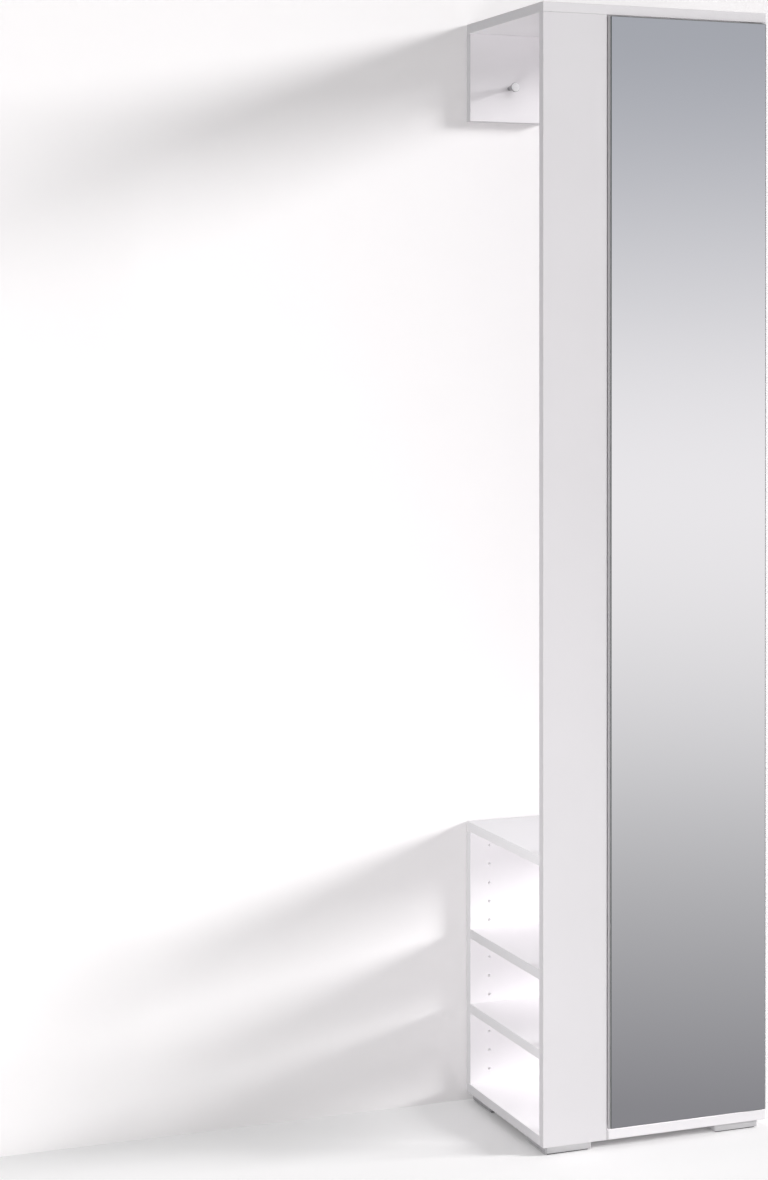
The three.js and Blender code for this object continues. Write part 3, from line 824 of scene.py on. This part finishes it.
# chrome for the hook, with painted light on its face and painted shade on its flanks
CHROME_PAINTED_SHADE = FacedMetal("chrome_painted_shade", "chrome", (0.88, 0.88, 0.89), (0.3, 0.3, 0.31))
STEEL = Grained("zinc_plated_steel", "steel", (0.56, 0.57, 0.58), 0.28, BRUSHED, 0.01 * MM, 0.112, (0.8, 0.0))
NICKEL = Grained("nickel_plated_steel", "shelf_pin", (0.7, 0.69, 0.67), 0.18, POLISHED, 0.004 * MM, 0.072, (0.88, 0.0))
SILVER = Grained("satin_silver", "silver_foot", (0.7, 0.69, 0.7), 0.34, DRAWN, 0.012 * MM, 0.136, metallic=0.3)
FELT = Felt("pressed_felt", "foot_pad", (0.03, 0.03, 0.032))
NYLON = Moulded("white_nylon", "white_plastic", (0.74, 0.74, 0.73), 0.42, soft=0.1)
GREY = Moulded("grey_plastic", "grey_plastic", (0.2, 0.205, 0.215), 0.5)
SILICONE = Moulded("clear_silicone", "bumper", (0.62, 0.65, 0.65), 0.25, Layer(600.0), 0.01 * MM, soft=0.4)


def slot_nodes(finish: Finish) -> list[str]:
    """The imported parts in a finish's slot."""
    return [row["node"] for row in frame["record"]["subparts"] if row["material_slot"] == finish.slot]


class Palette:
    """Makes each finish's material once, and hands it out."""

    def __init__(self) -> None:
        """Starts empty."""
        self._made: dict[str, bpy.types.Material] = {}

    def dress(self, piece: bpy.types.Object, finish: Finish) -> None:
        """Gives a piece a finish, in place of any material that it has.

        Args:
            piece: The mesh object.
            finish: Its finish.
        """
        if finish.name not in self._made:
            self._made[finish.name] = finish.material()
        piece.data.materials.clear()
        piece.data.materials.append(self._made[finish.name])
        log.info("%s: %s", piece.name, finish.name)

    def dress_nodes(self, finish: Finish, names: Sequence[str]) -> None:
        """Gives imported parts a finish."""
        for name in names:
            self.dress(frame["nodes"][name], finish)

    def fit(self, shape: Shape, name: str, finish: Finish, *nodes: str, body: str = "carcass") -> None:
        """Makes a piece of a shape, dresses it and hangs it on a body.

        Args:
            shape: The shape, in its place.
            name: The piece's name.
            finish: Its finish.
            nodes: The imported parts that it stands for.
            body: The body that it rides on.
        """
        made = shape.model(name)
        self.dress(made, finish)
        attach(made, body)
        if nodes:
            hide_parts(*nodes)


@dataclass
class Floor:
    """The studio's floor and the wall behind the unit."""

    reach: float = 14.0
    wall_gap: float = 1.0 * MM
    floor_paint: Colour = (0.965, 0.95, 0.955)
    wall_paint: Colour = (0.99, 0.97, 0.975)
    floor_lift: float = 0.255
    wall_lift: float = 0.09
    # painted contact shade: near things that touch them, the lift fades, so the floor and wall darken there
    contact: float = 0.15  # from how near something takes lift away
    contact_share: float = 0.5  # what stays of the lift where it touches

    def _paint(self, plane: bpy.types.Object, colour: Colour, lift: float, one_sided: bool) -> None:
        """Paints a plane.

        Args:
            plane: The plane.
            colour: Its colour.
            lift: Light added for the camera, so that it shows nearly white.
            one_sided: Whether it vanishes from behind.
        """
        made = bpy.data.materials.new(plane.name)
        made.use_nodes = True
        graph = Graph(made.node_tree)
        seen = graph.add("ShaderNodeLightPath", {}, {}, "Is Camera Ray")
        diffuse = graph.add("ShaderNodeBsdfDiffuse", {}, {"Color": colour})
        # painted contact shade: ambient occlusion takes the lift away near touching things
        near = graph.add("ShaderNodeAmbientOcclusion", {"samples": 8}, {"Distance": self.contact}, "AO")
        strength = seen * near.between(self.contact_share, 1.0) * lift
        glow = graph.add("ShaderNodeEmission", {}, {"Strength": strength})
        lit = graph.add("ShaderNodeAddShader", {}, {0: diffuse, 1: glow})
        if one_sided:
            behind = graph.add("ShaderNodeNewGeometry", {}, {}, "Backfacing")
            clear = graph.add("ShaderNodeBsdfTransparent", {}, {})
            lit = graph.add("ShaderNodeMixShader", {}, {0: behind, 1: lit, 2: clear})
        graph.add("ShaderNodeOutputMaterial", {}, {"Surface": lit})
        plane.data.materials.append(made)

    def build(self) -> None:
        """Lays the floor and stands the wall, which shows only to the camera."""
        reach, back = self.reach, CAD_BOX[1].y + self.wall_gap
        floor = add_sheet("floor", [(x, y, 0.0) for x, y in rectangle((-reach, -reach), (reach, reach))])
        wall = add_sheet("wall", [(x, back, z) for x, z in rectangle((-reach, 0.0), (reach, reach))])
        self._paint(floor, self.floor_paint, self.floor_lift, False)
        self._paint(wall, self.wall_paint, self.wall_lift, True)
        hide(floor, "glossy")
        hide(wall, "diffuse", "glossy", "transmission", "shadow")
        log.info("floor and wall laid")


@dataclass(frozen=True)
class Lamp:
    """A soft lamp that itself isn't seen: a square one, or a far one whose size is an angle.

    It lights the pieces named, or all but those that it spares. The pieces named as shades alone cast its shadows.
    """

    name: str
    place: Colour
    target: Colour
    size: float  # in metres, or in degrees for a far one
    power: float
    lights: tuple[str, ...] = ()
    shades: tuple[str, ...] = ()
    spares: tuple[str, ...] = ()
    far: bool = False

    def build(self) -> None:
        """Hangs the lamp, and links its light and its shadows."""
        data = bpy.data.lights.new(self.name, "SUN" if self.far else "AREA")
        data.energy = self.power
        if self.far:
            data.angle = math.radians(self.size)
        else:
            data.size = self.size
        lamp = add_object(data)
        lamp.location = self.place
        aim = Vector(self.target) - lamp.location
        lamp.rotation_euler = aim.to_track_quat("-Z", "Y").to_euler()
        hide(lamp, "glossy", "camera")
        for use, names, state in (
            ("receiver", self.lights, "INCLUDE"),
            ("receiver", self.spares, "EXCLUDE"),
            ("blocker", self.shades, "INCLUDE"),
        ):
            if names:
                members = bpy.data.collections.new(f"{self.name}_{use}")
                for name in names:
                    members.objects.link(frame["nodes"].get(name) or bpy.data.objects[name])
                for member in members.collection_objects:
                    member.light_linking.link_state = state
                setattr(lamp.light_linking, f"{use}_collection", members)


HOOK = "turned_coat_hook"
SHOE_BOARDS = ("shoe_box_top", "upper_shoe_shelf", "lower_shoe_shelf")
SHOE_LAMP: Colour = (-1.25, -1.6, 1.9)
SHOE_LAMPS = (
    ("niche", 0.25, 40.0, ("box_wall_panel", "lower_shoe_shelf")),
    ("box_top", 0.45, 46.0, ("shoe_box_top",)),
    ("shelf", 0.3, 29.0, ("upper_shoe_shelf",)),
)


@dataclass
class Lights:
    """A soft key from the right, soft boxes in front, and the pale room all round."""

    key: Lamp = Lamp(
        "key",
        (3.0, -1.0, 0.9),
        (0.0, 0.0, 0.0),
        14.0,
        3.8,
        shades=SHOE_BOARDS
        + ("top_panel", "bottom_panel", "hook_rail", HOOK, "box_wall_panel")
        + ("rear_left_foot_plate", "front_left_foot_plate"),
        spares=("door_leaf", "back_panel", "partition_panel", "right_side_panel"),
        far=True,
    )
    boxes: tuple[Lamp, ...] = (
        Lamp("bounce", (-1.45, -1.3, 0.15), (-0.1, -0.1, 0.25), 1.0, 9.9, spares=("floor", "rear_left_foot_plate")),
        Lamp("inside", (-0.6, -2.2, 1.3), (0.07, 0.16, 0.9), 1.2, 34.0, ("back_panel", "partition_panel")),
        Lamp("side", (2.6, -1.4, 1.6), (0.2, 0.0, 0.92), 1.2, 42.0, ("right_side_panel",)),
        *(Lamp(name, SHOE_LAMP, (-0.13, 0.0, z), 1.4, power, lit, (HOOK,)) for name, z, power, lit in SHOE_LAMPS),
        Lamp("rail", (0.06, -1.8, 2.14), (-0.13, 0.15, 1.75), 1.0, 9.4, ("hook_rail", HOOK), (HOOK,)),
        Lamp("ceiling", (0.15, 0.2, 0.34), (-0.1, 0.0, 1.82), 0.8, 6.4, ("top_panel",), (HOOK,)),
        Lamp("tray", (-0.75, -0.7, 2.1), (-0.13, 0.0, 0.03), 1.0, 29.0, ("bottom_panel",), ("partition_panel",)),
        Lamp("edge", (-1.3, -0.4, 0.3), (-0.2, -0.16, 0.4), 0.5, 1.2, ("front_stile",)),
        Lamp("foot", (0.5, -1.3, 0.3), (0.148, -0.16, 0.006), 0.4, 1.4, ("front_right_foot_plate",)),
    )
    flag_inset: float = 1.0 * MM  # of the door's flag, from the leaf's edge
    room: float = 0.355
    sky: tuple[tuple[float, Colour], ...] = (
        (0.000, (0.20, 0.20, 0.21)),
        (0.355, (0.25, 0.25, 0.265)),
        (0.410, (0.56, 0.56, 0.57)),
        (0.462, (0.83, 0.82, 0.83)),
        (0.506, (0.68, 0.68, 0.70)),
        (0.557, (0.39, 0.405, 0.44)),
        (0.700, (0.45, 0.46, 0.48)),
        (0.850, (0.95, 0.95, 0.95)),
    )

    def _flags(self) -> tuple[str, ...]:
        """Makes unseen sheets that widen the shadows of the shoe box's boards and shade the gap beside the door.

        Returns:
            The sheets' names.
        """
        sheets = {}
        for level in SHOE_BOARDS:
            low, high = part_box(level)
            corners = rectangle((high.x, low.y), (CAD_BOX[1].x, high.y))
            sheets[level] = [(x, y, (low.z + high.z) / 2) for x, y in corners]
        low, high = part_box("door_leaf")
        corners = rectangle((low.y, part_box("bottom_panel")[0].z), (high.y, high.z))
        sheets["door_edge"] = [(low.x + self.flag_inset, y, z) for y, z in corners]
        for name, corners in sheets.items():
            flag = add_sheet(f"flag_{name}", corners)
            hide(flag, "camera", "diffuse", "glossy", "transmission")
        return tuple(f"flag_{name}" for name in sheets)

    def _room(self) -> None:
        """Paints the room: plain for soft light, in bands for shiny parts, white for the camera."""
        world = bpy.data.worlds.new("room")
        world.use_nodes = True
        bpy.context.scene.world = world
        graph = Graph(world.node_tree)
        heading = graph.add("ShaderNodeTexCoord", {}, {}, "Generated")
        height = graph.add("ShaderNodeSeparateXYZ", {}, {0: heading}, "Z")
        sky = graph.add("ShaderNodeValToRGB", {}, {0: height * 0.5 + 0.5}, "Color")
        bands = sky.socket.node.color_ramp
        bands.interpolation = "CARDINAL"
        while len(bands.elements) < len(self.sky):
            bands.elements.new(1.0)
        for element, (place, colour) in zip(bands.elements, self.sky):
            element.position = place
            element.color = (*colour, 1.0)
        path = graph.add("ShaderNodeLightPath", {}, {}, "Is Camera Ray")
        glossy = Value(graph, path.socket.node.outputs["Is Glossy Ray"])
        room = graph.mix(glossy, (self.room,) * 3, sky)
        colour = graph.mix(path, room, (1.0, 1.0, 1.0))
        background = graph.add("ShaderNodeBackground", {}, {"Color": colour, "Strength": 1.0})
        graph.add("ShaderNodeOutputWorld", {}, {"Surface": background})

    def build(self) -> None:
        """Lights the unit and paints the room."""
        for lamp in (replace(self.key, shades=self.key.shades + self._flags()), *self.boxes):
            lamp.build()
        self._room()
        log.info("lamps and room set")


@dataclass
class Viewpoint:
    """The photograph's camera, from its vanishing points."""

    place: Colour = (-1.78635, -3.89525, 1.30713)
    turn_share: float = 0.384114  # sine of the angle from +Y towards +X
    focal_px: float = 2545.67
    centre_x_px: float = 523.2
    centre_y_px: float = 358.0
    horizon_px: float = 338.5
    sensor: float = 36.0

    def build(self) -> None:
        """Sets up the scene's camera."""
        data = bpy.data.cameras.new("camera")
        data.sensor_fit = "AUTO"
        data.sensor_width = self.sensor
        data.lens = self.sensor * self.focal_px / PHOTO_HEIGHT
        data.shift_x = (PHOTO_WIDTH / 2 - self.centre_x_px) / PHOTO_HEIGHT
        data.shift_y = (self.centre_y_px - PHOTO_HEIGHT / 2) / PHOTO_HEIGHT
        camera = add_object(data)
        drop = (self.centre_y_px - self.horizon_px) / self.focal_px
        ahead = Vector((self.turn_share, math.sqrt(1 - self.turn_share**2), -drop))
        camera.location = self.place
        camera.rotation_euler = ahead.to_track_quat("-Z", "Y").to_euler()
        bpy.context.scene.camera = camera
        log.info("camera set")


class Assembly(ABC):
    """A sub-assembly of the wardrobe, with its sizes as fields."""

    @abstractmethod
    def build(self, palette: Palette) -> None:
        """Makes and dresses its pieces.

        Args:
            palette: The finishes.
        """


@dataclass
class Packed(Assembly):
    """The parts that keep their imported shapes, and those that finer ones stand in for later."""

    flat: tuple[str, ...] = SHOE_BOARDS + (
        "top_panel",
        "bottom_panel",
        "hat_shelf",
        "middle_shelf",
        "lower_inner_shelf",
    )
    front: tuple[str, ...] = ("front_stile", "stop_strip", "hook_rail", "box_wall_panel", "door_leaf")
    side: tuple[str, ...] = ("partition_panel", "right_side_panel")
    others: tuple[Finish, ...] = (BACK, MIRROR, TAPE, CHROME, STEEL, NICKEL, SILVER, FELT, NYLON, GREY, SILICONE)

    def build(self, palette: Palette) -> None:
        """Dresses the white boards by the way that they lie, and all others by their slots.

        Args:
            palette: The finishes.
        """
        for lie, names in ((Lie.FLAT, self.flat), (Lie.FRONT, self.front), (Lie.SIDE, self.side)):
            palette.dress_nodes(BOARDS[lie], names)
        for finish in self.others:
            palette.dress_nodes(finish, slot_nodes(finish))


@dataclass(frozen=True)
class Screw:
    """A countersunk screw with a cross recess; its head's face is at zero and it points down."""

    head: float = 6.4 * MM
    head_depth: float = 1.7 * MM
    shank: float = 3.0 * MM
    length: float = 14.0 * MM
    cross_reach: float = 3.4 * MM
    cross_width: float = 0.9 * MM
    cross_depth: float = 0.9 * MM
    rim: float = 0.25 * MM
    rim_share: float = 0.8  # of the rim, rounded
    neck_share: float = 0.3  # of the shank's radius, rounded under the head
    tip_share: float = 0.4  # of the shank's width, at its tip

    def shape(self) -> Shape:
        """Turns the screw and sinks its cross.

        Returns:
            The shape.
        """
        radius, shank = self.head / 2, self.shank / 2
        corners = (
            (shank * self.tip_share, -self.length),
            (shank, self.shank - self.length),
            (shank, -self.head_depth, shank * self.neck_share),
            (radius, -self.rim),
            (radius, 0.0, self.rim * self.rim_share),
        )
        reach, width, depth = self.cross_reach / 2, self.cross_width / 2, self.cross_depth
        arms = [Shape.block((-x, -y, -depth), (x, y, OVERRUN)) for x, y in ((reach, width), (width, reach))]
        return Shape.turned(corners, sides=32).carved(*arms)


@dataclass
class CoatHook(Assembly):
    """The round-headed hook on the rail: a cone that widens from its foot to its shallow dome."""

    profile: Profile = (
        (3.5, 0.0, 0.3),
        (4.4, 10.5, 7.0),
        (8.0, 27.0, 0.7),
        (8.0, 28.5, 1.0),
        (5.6, 29.7, 1.5),
        (0.0, 30.0),
    )

    def build(self, palette: Palette) -> None:
        """Turns the hook and hangs it on the rail."""
        shape = Shape.turned(in_metres(self.profile), sides=64, steps=8)
        palette.fit(shape.placed(Heading.BACK.end("coat_hook"), Heading.FRONT), HOOK, CHROME_PAINTED_SHADE, "coat_hook")


@dataclass
class GarmentRail(Assembly):
    """The oval clothes rail and the two open sockets that it drops into."""

    tall: float = 30.0 * MM
    wide: float = 15.0 * MM
    wall: float = 1.2 * MM
    rim: float = 2.5 * MM
    rim_ease: float = 0.5 * MM
    flange: float = 6.0 * MM
    plate: float = 3.0 * MM
    plate_ease: float = 0.6 * MM
    reach: float = 12.0 * MM
    gap: float = 0.3 * MM
    screw: Screw = Screw(4.4 * MM, 1.2 * MM, 2.2 * MM, 4.0 * MM, 2.4 * MM, 0.6 * MM, 0.6 * MM)

    def _section(self, grow: float) -> Outline:
        """The rail's oblong section, made larger all round."""
        return Outline.oblong(self.tall + 2 * grow, self.wide + 2 * grow)

    def _socket(self) -> Shape:
        """Makes one socket, on its plate at zero and open upwards.

        Returns:
            The shape.
        """
        bore = Shape.slab(self._section(self.gap), self.plate, self.reach + OVERRUN)
        half = self.wide / 2 + self.gap
        mouth = Shape.block((-half, 0.0, self.plate), (half, self.tall, self.reach + OVERRUN))
        sleeve = Shape.slab(self._section(self.rim), 0.0, self.reach, self.rim_ease).carved(bore, mouth)
        drop = self.tall / 2 + self.rim + self.flange / 2
        screws = [self.screw.shape().placed((0.0, y, self.plate)) for y in (drop, -drop)]
        plate = Shape.slab(self._section(self.rim + self.flange), 0.0, self.plate, self.plate_ease)
        return plate.join(sleeve, *screws)

    def build(self, palette: Palette) -> None:
        """Makes the rail and its sockets.

        Args:
            palette: The finishes.
        """
        start, end = Heading.LEFT.end("clothes_rail"), Heading.RIGHT.end("clothes_rail")
        tube = Shape.sleeve(self._section(0.0), self._section(-self.wall), 0.0, end.x - start.x)
        palette.fit(tube.placed(start, Heading.RIGHT), "oval_rail", CHROME, "clothes_rail")
        for side, heading, back in (
            ("left", Heading.RIGHT, Heading.LEFT),
            ("right", Heading.LEFT, Heading.RIGHT),
        ):
            node = f"rail_socket_{side}"
            palette.fit(self._socket().placed(back.end(node), heading), f"{side}_rail_cup", CHROME, node)


@dataclass
class ShelfPins(Assembly):
    """The pins that carry the adjustable shelves: a shank in the board and a flat-topped head."""

    head: float = 8.0 * MM
    head_length: float = 7.0 * MM
    head_rounds: Pair = (0.7 * MM, 0.3 * MM)
    shank: float = 4.8 * MM
    shank_length: float = 8.0 * MM
    shank_round: float = 0.5 * MM
    gap: float = 0.2 * MM
    headings: tuple[tuple[str, Heading], ...] = (
        ("_wall", Heading.BACK),
        ("_stile", Heading.FRONT),
        ("_left_", Heading.LEFT),
        ("_right_", Heading.RIGHT),
        ("_inner_", Heading.RIGHT),
    )

    def _pin(self, seat: float) -> Shape:
        """Makes one pin; its shank points up.

        Args:
            seat: How far the flat lies above the axis.

        Returns:
            The shape.
        """
        head, shank = self.head / 2, self.shank / 2
        corners = (
            (head, -self.gap - self.head_length, self.head_rounds[0]),
            (head, -self.gap, self.head_rounds[1]),
            (shank, -self.gap),
            (shank, self.shank_length, self.shank_round),
        )
        return Shape.turned(corners, sides=32).trimmed(seat)

    def build(self, palette: Palette) -> None:
        """Makes every pin in its hole.

        Args:
            palette: The finishes.
        """
        for name in slot_nodes(NICKEL):
            heading = next(heading for part, heading in self.headings if part in name)
            low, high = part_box(name)
            axis = low.z + self.head / 2
            tip = heading.end(name)
            place = Vector((tip.x, tip.y, axis)) - Vector(heading.value) * self.shank_length
            palette.fit(self._pin(high.z - axis).placed(place, heading), f"{name}_turned", NICKEL, name)


@dataclass
class Feet(Assembly):
    """The four flat feet: satin plates with rounded corners, on felt."""

    corner: float = 3.5 * MM
    ease: float = 1.3 * MM

    def build(self, palette: Palette) -> None:
        """Makes each plate in its place.

        Args:
            palette: The finishes.
        """
        for name in slot_nodes(SILVER):
            low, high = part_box(name)
            outline = Outline.rounded([(*place, self.corner) for place in rectangle(low, high)])
            palette.fit(Shape.slab(outline, low.z, high.z, self.ease), f"{name}_plate", SILVER, name)


@dataclass
class Hinges(Assembly):
    """The two pivot hinges: a plate flush in the board, a collared pin and two screws."""

    radius: float = 5.0 * MM
    thickness: float = 2.0 * MM
    ease: float = 0.25 * MM
    sink_gap: float = 0.2 * MM
    pin_hole: float = 4.2 * MM
    pin: Profile = ((2.0, -2.0, 0.3), (2.0, 0.2), (3.5, 0.2, 0.15), (3.5, 0.9, 0.15), (2.0, 0.9), (2.0, 11.9, 0.9))
    offsets: tuple[tuple[str, float], ...] = (("near", 13.0 * MM), ("far", 30.0 * MM))
    screw: Screw = Screw()

    def _plate(self) -> Shape:
        """Makes a plate with its pin hole at the origin and its face at zero.

        Returns:
            The shape.
        """
        far = self.offsets[-1][1]
        points = Outline.oblong(far + 2 * self.radius, 2 * self.radius, steps=24).points
        outline = Outline([(-y - far / 2, x) for x, y in points])
        deep = -2 * self.thickness
        tools = [Shape.slab(Outline.oblong(self.pin_hole, self.pin_hole), deep, OVERRUN)]
        head, shank = self.screw.head / 2 + self.sink_gap, self.screw.shank / 2 + self.sink_gap
        sink = ((shank, deep), (shank, -self.screw.head_depth), (head, 0.0), (head, OVERRUN))
        tools += [Shape.turned(sink, sides=32).placed((-offset, 0.0, 0.0)) for _, offset in self.offsets]
        return Shape.slab(outline, -self.thickness, 0.0, self.ease).carved(*tools)

    def build(self, palette: Palette) -> None:
        """Makes both hinges.

        Args:
            palette: The finishes.
        """
        for level, heading in (("bottom", Heading.UP), ("top", Heading.DOWN)):
            stem = f"{level}_hinge"
            low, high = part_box(f"{stem}_pin")
            axis = (low + high) / 2
            place = Vector((axis.x, axis.y, heading.end(f"{stem}_plate").z))
            palette.fit(self._plate().placed(place, heading), f"{stem}_leaf", STEEL, f"{stem}_plate")
            pin = Shape.turned(in_metres(self.pin)).placed(place, heading)
            palette.fit(pin, f"{stem}_post", STEEL, f"{stem}_pin")
            for name, offset in self.offsets:
                shape = self.screw.shape().placed(place - Vector((offset, 0.0, 0.0)), heading)
                node = f"{stem}_screw_{name}"
                palette.fit(shape, f"{node}_crossed", STEEL, node)


@dataclass
class Latch(Assembly):
    """The push latch inside the cabinet, its strike on the door and the bumpers."""

    ease: float = 1.0 * MM
    plate: Colour = (2.5 * MM, 30.0 * MM, 34.0 * MM)
    plate_ease: float = 0.6 * MM
    body: Colour = (12.0 * MM, 58.0 * MM, 14.0 * MM)
    bore: float = 6.2 * MM
    bore_depth: float = 40.0 * MM
    rod: float = 6.0 * MM
    rod_rounds: Pair = (0.3 * MM, 0.5 * MM)
    tip: float = 9.0 * MM
    tip_length: float = 2.2 * MM
    tip_rounds: Pair = (0.9 * MM, 0.4 * MM)
    strike_round: float = 0.35 * MM
    strike_sink: Pair = (2.3 * MM, 2.4 * MM)  # its radius at the bottom and at the top
    strike_screw: Screw = Screw(4.6 * MM, 0.5 * MM, 2.4 * MM, 1.0 * MM, 2.6 * MM, 0.7 * MM, 0.35 * MM)
    screw: Screw = Screw(5.0 * MM, 1.4 * MM, 2.6 * MM, 8.0 * MM, 2.8 * MM, 0.7 * MM, 0.7 * MM)
    dome_shares: tuple[Colour, ...] = ((0.97, 0.5, 0.25), (0.55, 1.0, 0.35))  # out, up and rounded

    def _housing(self, palette: Palette) -> None:
        """Makes the housing with its plate and screws.

        Args:
            palette: The finishes.
        """
        low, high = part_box("latch_housing")
        centre = (low + high) / 2
        wide, long, tall = self.body
        corner = Vector((high.x - wide, low.y, centre.z - tall / 2))
        bore = Shape.slab(Outline.oblong(self.bore, self.bore), -OVERRUN, self.bore_depth)
        bore.placed((high.x - wide / 2, low.y, centre.z), Heading.BACK)
        case = Shape.block(corner, corner + Vector((wide, long, tall)), self.ease).carved(bore)
        thick, length, height = self.plate
        start = Vector((low.x, centre.y - length / 2, centre.z - height / 2))
        case.join(Shape.block(start, start + Vector(self.plate), self.plate_ease))
        palette.fit(case, "latch_case", GREY, "latch_housing")
        drop = (height + tall) / 4
        places = [(low.x + thick, centre.y, centre.z + side * drop) for side in (-1, 1)]
        screws = [self.screw.shape().placed(place, Heading.RIGHT) for place in places]
        palette.fit(screws[0].join(screws[1]), "latch_screws", STEEL)

    def _plunger(self, palette: Palette) -> None:
        """Makes the plunger.

        Args:
            palette: The finishes.
        """
        low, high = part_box("latch_plunger")
        rod, tip = self.rod / 2, self.tip / 2
        corners = (
            (tip, 0.0, self.tip_rounds[0]),
            (tip, self.tip_length, self.tip_rounds[1]),
            (rod, self.tip_length, self.rod_rounds[0]),
            (rod, high.y - low.y, self.rod_rounds[1]),
        )
        button = Shape.turned(corners).placed(Heading.FRONT.end("latch_plunger"), Heading.BACK)
        palette.fit(button, "latch_button_cap", NYLON, "latch_plunger", body="latch_button")

    def _strike(self, palette: Palette) -> None:
        """Makes the strike with its screw.

        Args:
            palette: The finishes.
        """
        low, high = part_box("latch_strike")
        radius, thick = (high.z - low.z) / 2, high.y - low.y
        below, above = self.strike_sink
        sink = Shape.turned(((below, -thick / 2), (above, OVERRUN)), sides=32)
        disc = Shape.turned(((radius, -thick), (radius, 0.0, self.strike_round)), sides=48)
        disc.carved(sink).join(replace(self.strike_screw, length=thick).shape())
        disc.placed(Heading.BACK.end("latch_strike"), Heading.BACK)
        palette.fit(disc, "strike_disc", STEEL, "latch_strike", body="door")

    def build(self, palette: Palette) -> None:
        """Makes the latch, and the soft domes that the door shuts on.

        Args:
            palette: The finishes.
        """
        self._housing(palette)
        self._plunger(palette)
        self._strike(palette)
        for name in slot_nodes(SILICONE):
            low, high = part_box(name)
            radius, thick = (high.z - low.z) / 2, high.y - low.y
            (out, up, bend), (top_out, top_up, top_bend) = self.dome_shares
            corners = (
                (radius, 0.0),
                (radius * out, thick * up, thick * bend),
                (radius * top_out, thick * top_up, radius * top_bend),
            )
            dome = Shape.turned(corners).placed(Heading.BACK.end(name), Heading.FRONT)
            palette.fit(dome, f"{name}_dome", SILICONE, name)


@dataclass
class WallBracket(Assembly):
    """The bent strip under the top that ties the unit to the wall."""

    thickness: float = 2.0 * MM
    bend: float = 3.2 * MM
    ease: float = 0.3 * MM
    hole: float = 5.0 * MM
    screw: Screw = Screw(7.0 * MM, 1.6 * MM, 3.4 * MM, 12.0 * MM)
    screw_drop: float = 0.1 * MM

    def build(self, palette: Palette) -> None:
        """Bends and drills the strip, and screws it to the top.

        Args:
            palette: The finishes.
        """
        low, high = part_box("wall_bracket")
        leg, thick = high.z - low.z, self.thickness
        section = (
            (-leg, 0.0),
            (-leg, -thick),
            (-thick, -thick, self.bend - thick),
            (-thick, -leg),
            (0.0, -leg),
            (0.0, 0.0, self.bend),
        )
        strip = Shape.slab(Outline.rounded(section), 0.0, high.x - low.x, self.ease)
        strip.placed((low.x, high.y, high.z), Heading.RIGHT)
        middle, back = (low.x + high.x) / 2, high.y - leg / 2
        bore, reach = Outline.oblong(self.hole, self.hole), self.bend + thick
        upright, level = (Shape.slab(bore, -reach, reach) for _ in range(2))
        upright.placed((middle, back, high.z))
        level.placed((middle, high.y, high.z - leg / 2), Heading.BACK)
        palette.fit(strip.carved(upright, level), "bent_bracket", STEEL, "wall_bracket")
        screw = self.screw.shape().placed((middle, back, high.z - thick - self.screw_drop), Heading.DOWN)
        palette.fit(screw, "bracket_screw", STEEL)


@dataclass
class CamCovers(Assembly):
    """White covers over the cams that hold the cabinet's boards together."""

    profile: Profile = ((6.8, -0.3), (6.8, 0.0), (8.5, 0.0), (8.5, 0.55, 0.33), (5.1, 1.1, 2.125))
    inset: float = 34.0 * MM
    fronts: Pair = (-0.1, 0.11)

    def _places(self) -> list[tuple[Colour, Heading]]:
        """Works out where the covers sit.

        Returns:
            A place and a heading for each cover.
        """
        partition, side = Heading.RIGHT.end("partition_panel").x, Heading.LEFT.end("right_side_panel").x
        low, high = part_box("right_side_panel")
        places = []
        for y in self.fronts:
            for z in (low.z + self.inset, high.z - self.inset):
                places += [((partition, y, z), Heading.RIGHT), ((side, y, z), Heading.LEFT)]
            for shelf in ("middle_shelf", "hat_shelf"):
                under = Heading.DOWN.end(shelf).z
                places += [((x, y, under), Heading.DOWN) for x in (partition + self.inset, side - self.inset)]
        return places

    def build(self, palette: Palette) -> None:
        """Makes all the covers as one piece.

        Args:
            palette: The finishes.
        """
        corners = in_metres(self.profile)
        covers = [Shape.turned(corners).placed(place, heading) for place, heading in self._places()]
        palette.fit(Shape().join(*covers), "cam_covers", NYLON)


def main() -> None:
    """Builds the studio and dresses the wardrobe, one sub-assembly after another."""
    logging.basicConfig(level=logging.INFO, format="%(message)s")
    bpy.context.scene.view_settings.view_transform = "Standard"
    Viewpoint().build()
    Floor().build()
    palette = Palette()
    for kind in (Packed, CoatHook, GarmentRail, ShelfPins, Feet, Hinges, Latch, WallBracket, CamCovers):
        kind().build(palette)
    Lights().build()


if __name__ == "__main__":
    main()
